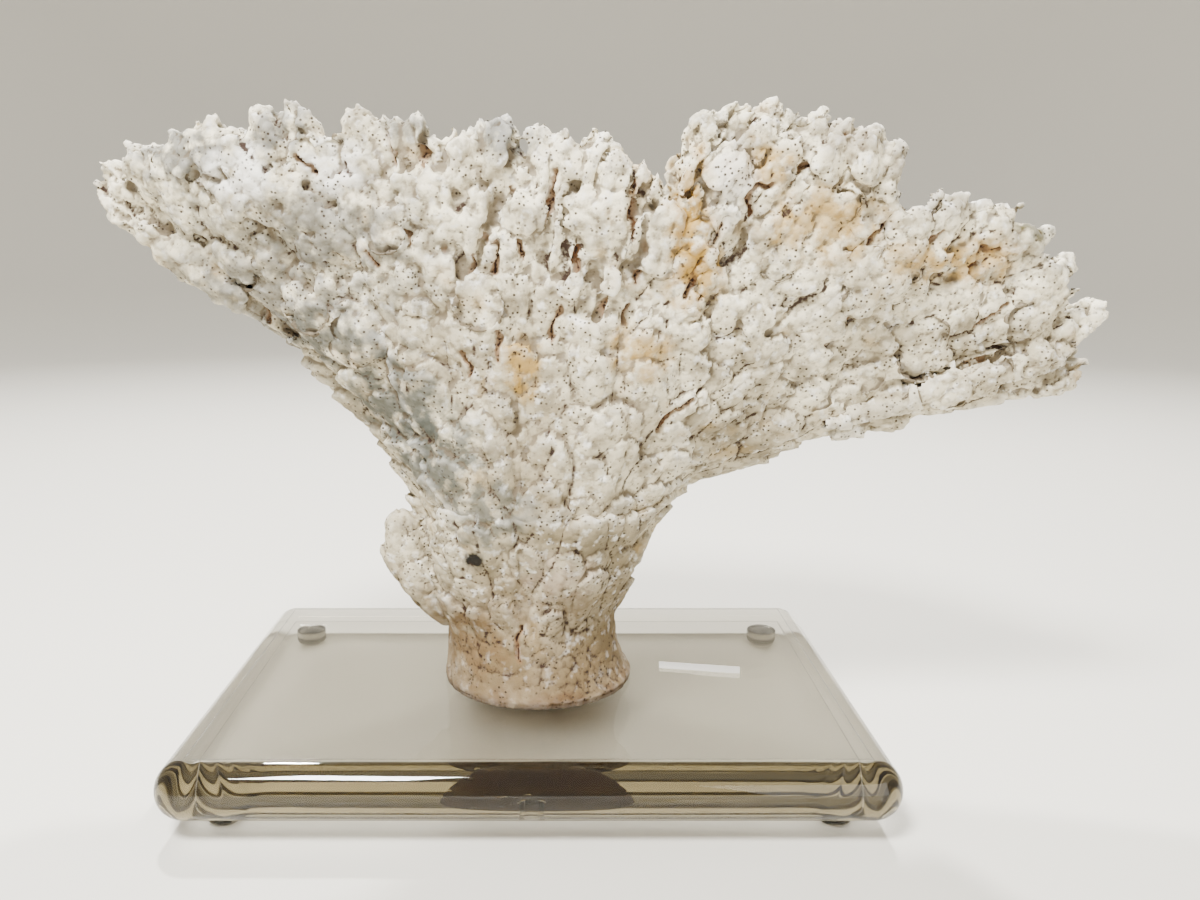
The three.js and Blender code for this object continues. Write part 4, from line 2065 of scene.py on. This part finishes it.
@dataclass(frozen=True)
class Studio:
    """A pale floor that sweeps up all round, soft lights and the camera.

    Attributes:
        floor: the floor's colour.
        floor_roughness: of its matt paint.
        floor_radius: the flat part of the floor.
        floor_sides: how many sides its round rim has.
        sweep_radius: of the curve up to the wall.
        sweep_steps: how many steps that curve is made in.
        wall_height: of the wall above the curve.
        aim: what the lights face.
        sky: the sky's colour.
        sky_strength: how bright it is.
        camera_back: from the slab's middle to the camera, towards the front.
        camera_right: from the slab's middle to the camera, to the right.
        camera_up: from the slab's underside to the camera.
        pitch_deg: how far the camera looks down.
        lens_mm: focal length.
        sensor_mm: width of the sensor.
        shift_x: sideways shift of the picture.
        nearest: the closest thing that the camera shows.
        inner_bounces: how often light may bend or mirror inside clear plastic.
        all_bounces: how often it may turn in all.
    """

    floor: str = "d8d4c9"
    floor_roughness: float = 0.7
    floor_radius: float = 2.2
    floor_sides: int = 96
    sweep_radius: float = 1.2
    sweep_steps: int = 12
    wall_height: float = 0.8
    aim: tuple[float, float, float] = (-0.03, 0.0, 0.14)
    sky: str = "f6f3ee"
    sky_strength: float = 0.72
    camera_back: float = 0.4647
    camera_right: float = 0.011
    camera_up: float = 0.2241
    pitch_deg: float = 10.7
    lens_mm: float = 30.0
    sensor_mm: float = 36.0
    shift_x: float = 0.037
    nearest: float = 0.01
    inner_bounces: int = 16
    all_bounces: int = 20

    def build(self) -> None:
        """Make the camera, the floor, the lights and the sky."""
        self.camera()
        self.stage()
        for lamp in LAMPS:
            lamp.hang(Vector(self.aim))
        self.light_up()

    def camera(self) -> None:
        """Place the camera from the slab's box."""
        low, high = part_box("acrylic_base")
        middle = (low + high) / 2
        place = (middle.x + self.camera_right, middle.y - self.camera_back, low.z + self.camera_up)
        bpy.ops.object.camera_add(
            location=place, rotation=(math.radians(90 - self.pitch_deg), 0, 0)
        )
        camera = bpy.context.object
        camera.data.lens = self.lens_mm
        camera.data.sensor_width = self.sensor_mm
        camera.data.shift_x = self.shift_x
        camera.data.clip_start = self.nearest
        bpy.context.scene.camera = camera

    def stage(self) -> None:
        """Make a round pale floor whose rim sweeps up, so that no horizon shows."""
        bpy.ops.object.select_all(action="DESELECT")
        bpy.ops.mesh.primitive_circle_add(
            vertices=self.floor_sides,
            radius=self.floor_radius,
            fill_type="NGON",
            location=(0, 0, 0),
        )
        floor = bpy.context.object
        floor.name = "floor"
        bpy.ops.object.mode_set(mode="EDIT")
        bpy.ops.mesh.select_mode(type="EDGE")
        bpy.ops.mesh.select_all(action="SELECT")
        radius, height = self.floor_radius, 0.0
        for step in range(1, self.sweep_steps + 1):
            turn = math.radians(90 * step / self.sweep_steps)
            next_radius = self.floor_radius + self.sweep_radius * math.sin(turn)
            next_height = self.sweep_radius * (1 - math.cos(turn))
            self.lift_rim(next_radius / radius, next_height - height)
            radius, height = next_radius, next_height
        self.lift_rim(1.0, self.wall_height)
        bpy.ops.object.mode_set(mode="OBJECT")
        bpy.ops.object.shade_smooth()
        material, _, shader = new_material("pale_floor")
        shader.inputs["Base Color"].default_value = linear(self.floor)
        shader.inputs["Roughness"].default_value = self.floor_roughness
        dress(floor, material)

    def lift_rim(self, spread: float, rise: float) -> None:
        """Extrude the selected rim outwards and up.

        Args:
            spread: how many times wider it becomes.
            rise: how far up it goes.
        """
        bpy.ops.mesh.extrude_edges_move(TRANSFORM_OT_translate={"value": (0, 0, rise)})
        bpy.ops.transform.resize(value=(spread, spread, 1), center_override=(0, 0, 0))

    def light_up(self) -> None:
        """Make an even sky, and let light turn often enough to leave the clear slab."""
        world = bpy.data.worlds.new("studio")
        bpy.context.scene.world = world
        world.use_nodes = True
        background = world.node_tree.nodes["Background"]
        background.inputs["Color"].default_value = linear(self.sky)
        background.inputs["Strength"].default_value = self.sky_strength
        cycles = bpy.context.scene.cycles
        cycles.glossy_bounces = self.inner_bounces
        cycles.transmission_bounces = self.inner_bounces
        cycles.max_bounces = self.all_bounces


def main() -> None:
    """Build the studio, the stand and the coral in order."""
    logging.basicConfig(level=logging.INFO, format="%(message)s")
    Studio().build()
    Stand().build()
    build_coral()


if __name__ == "__main__":
    main()
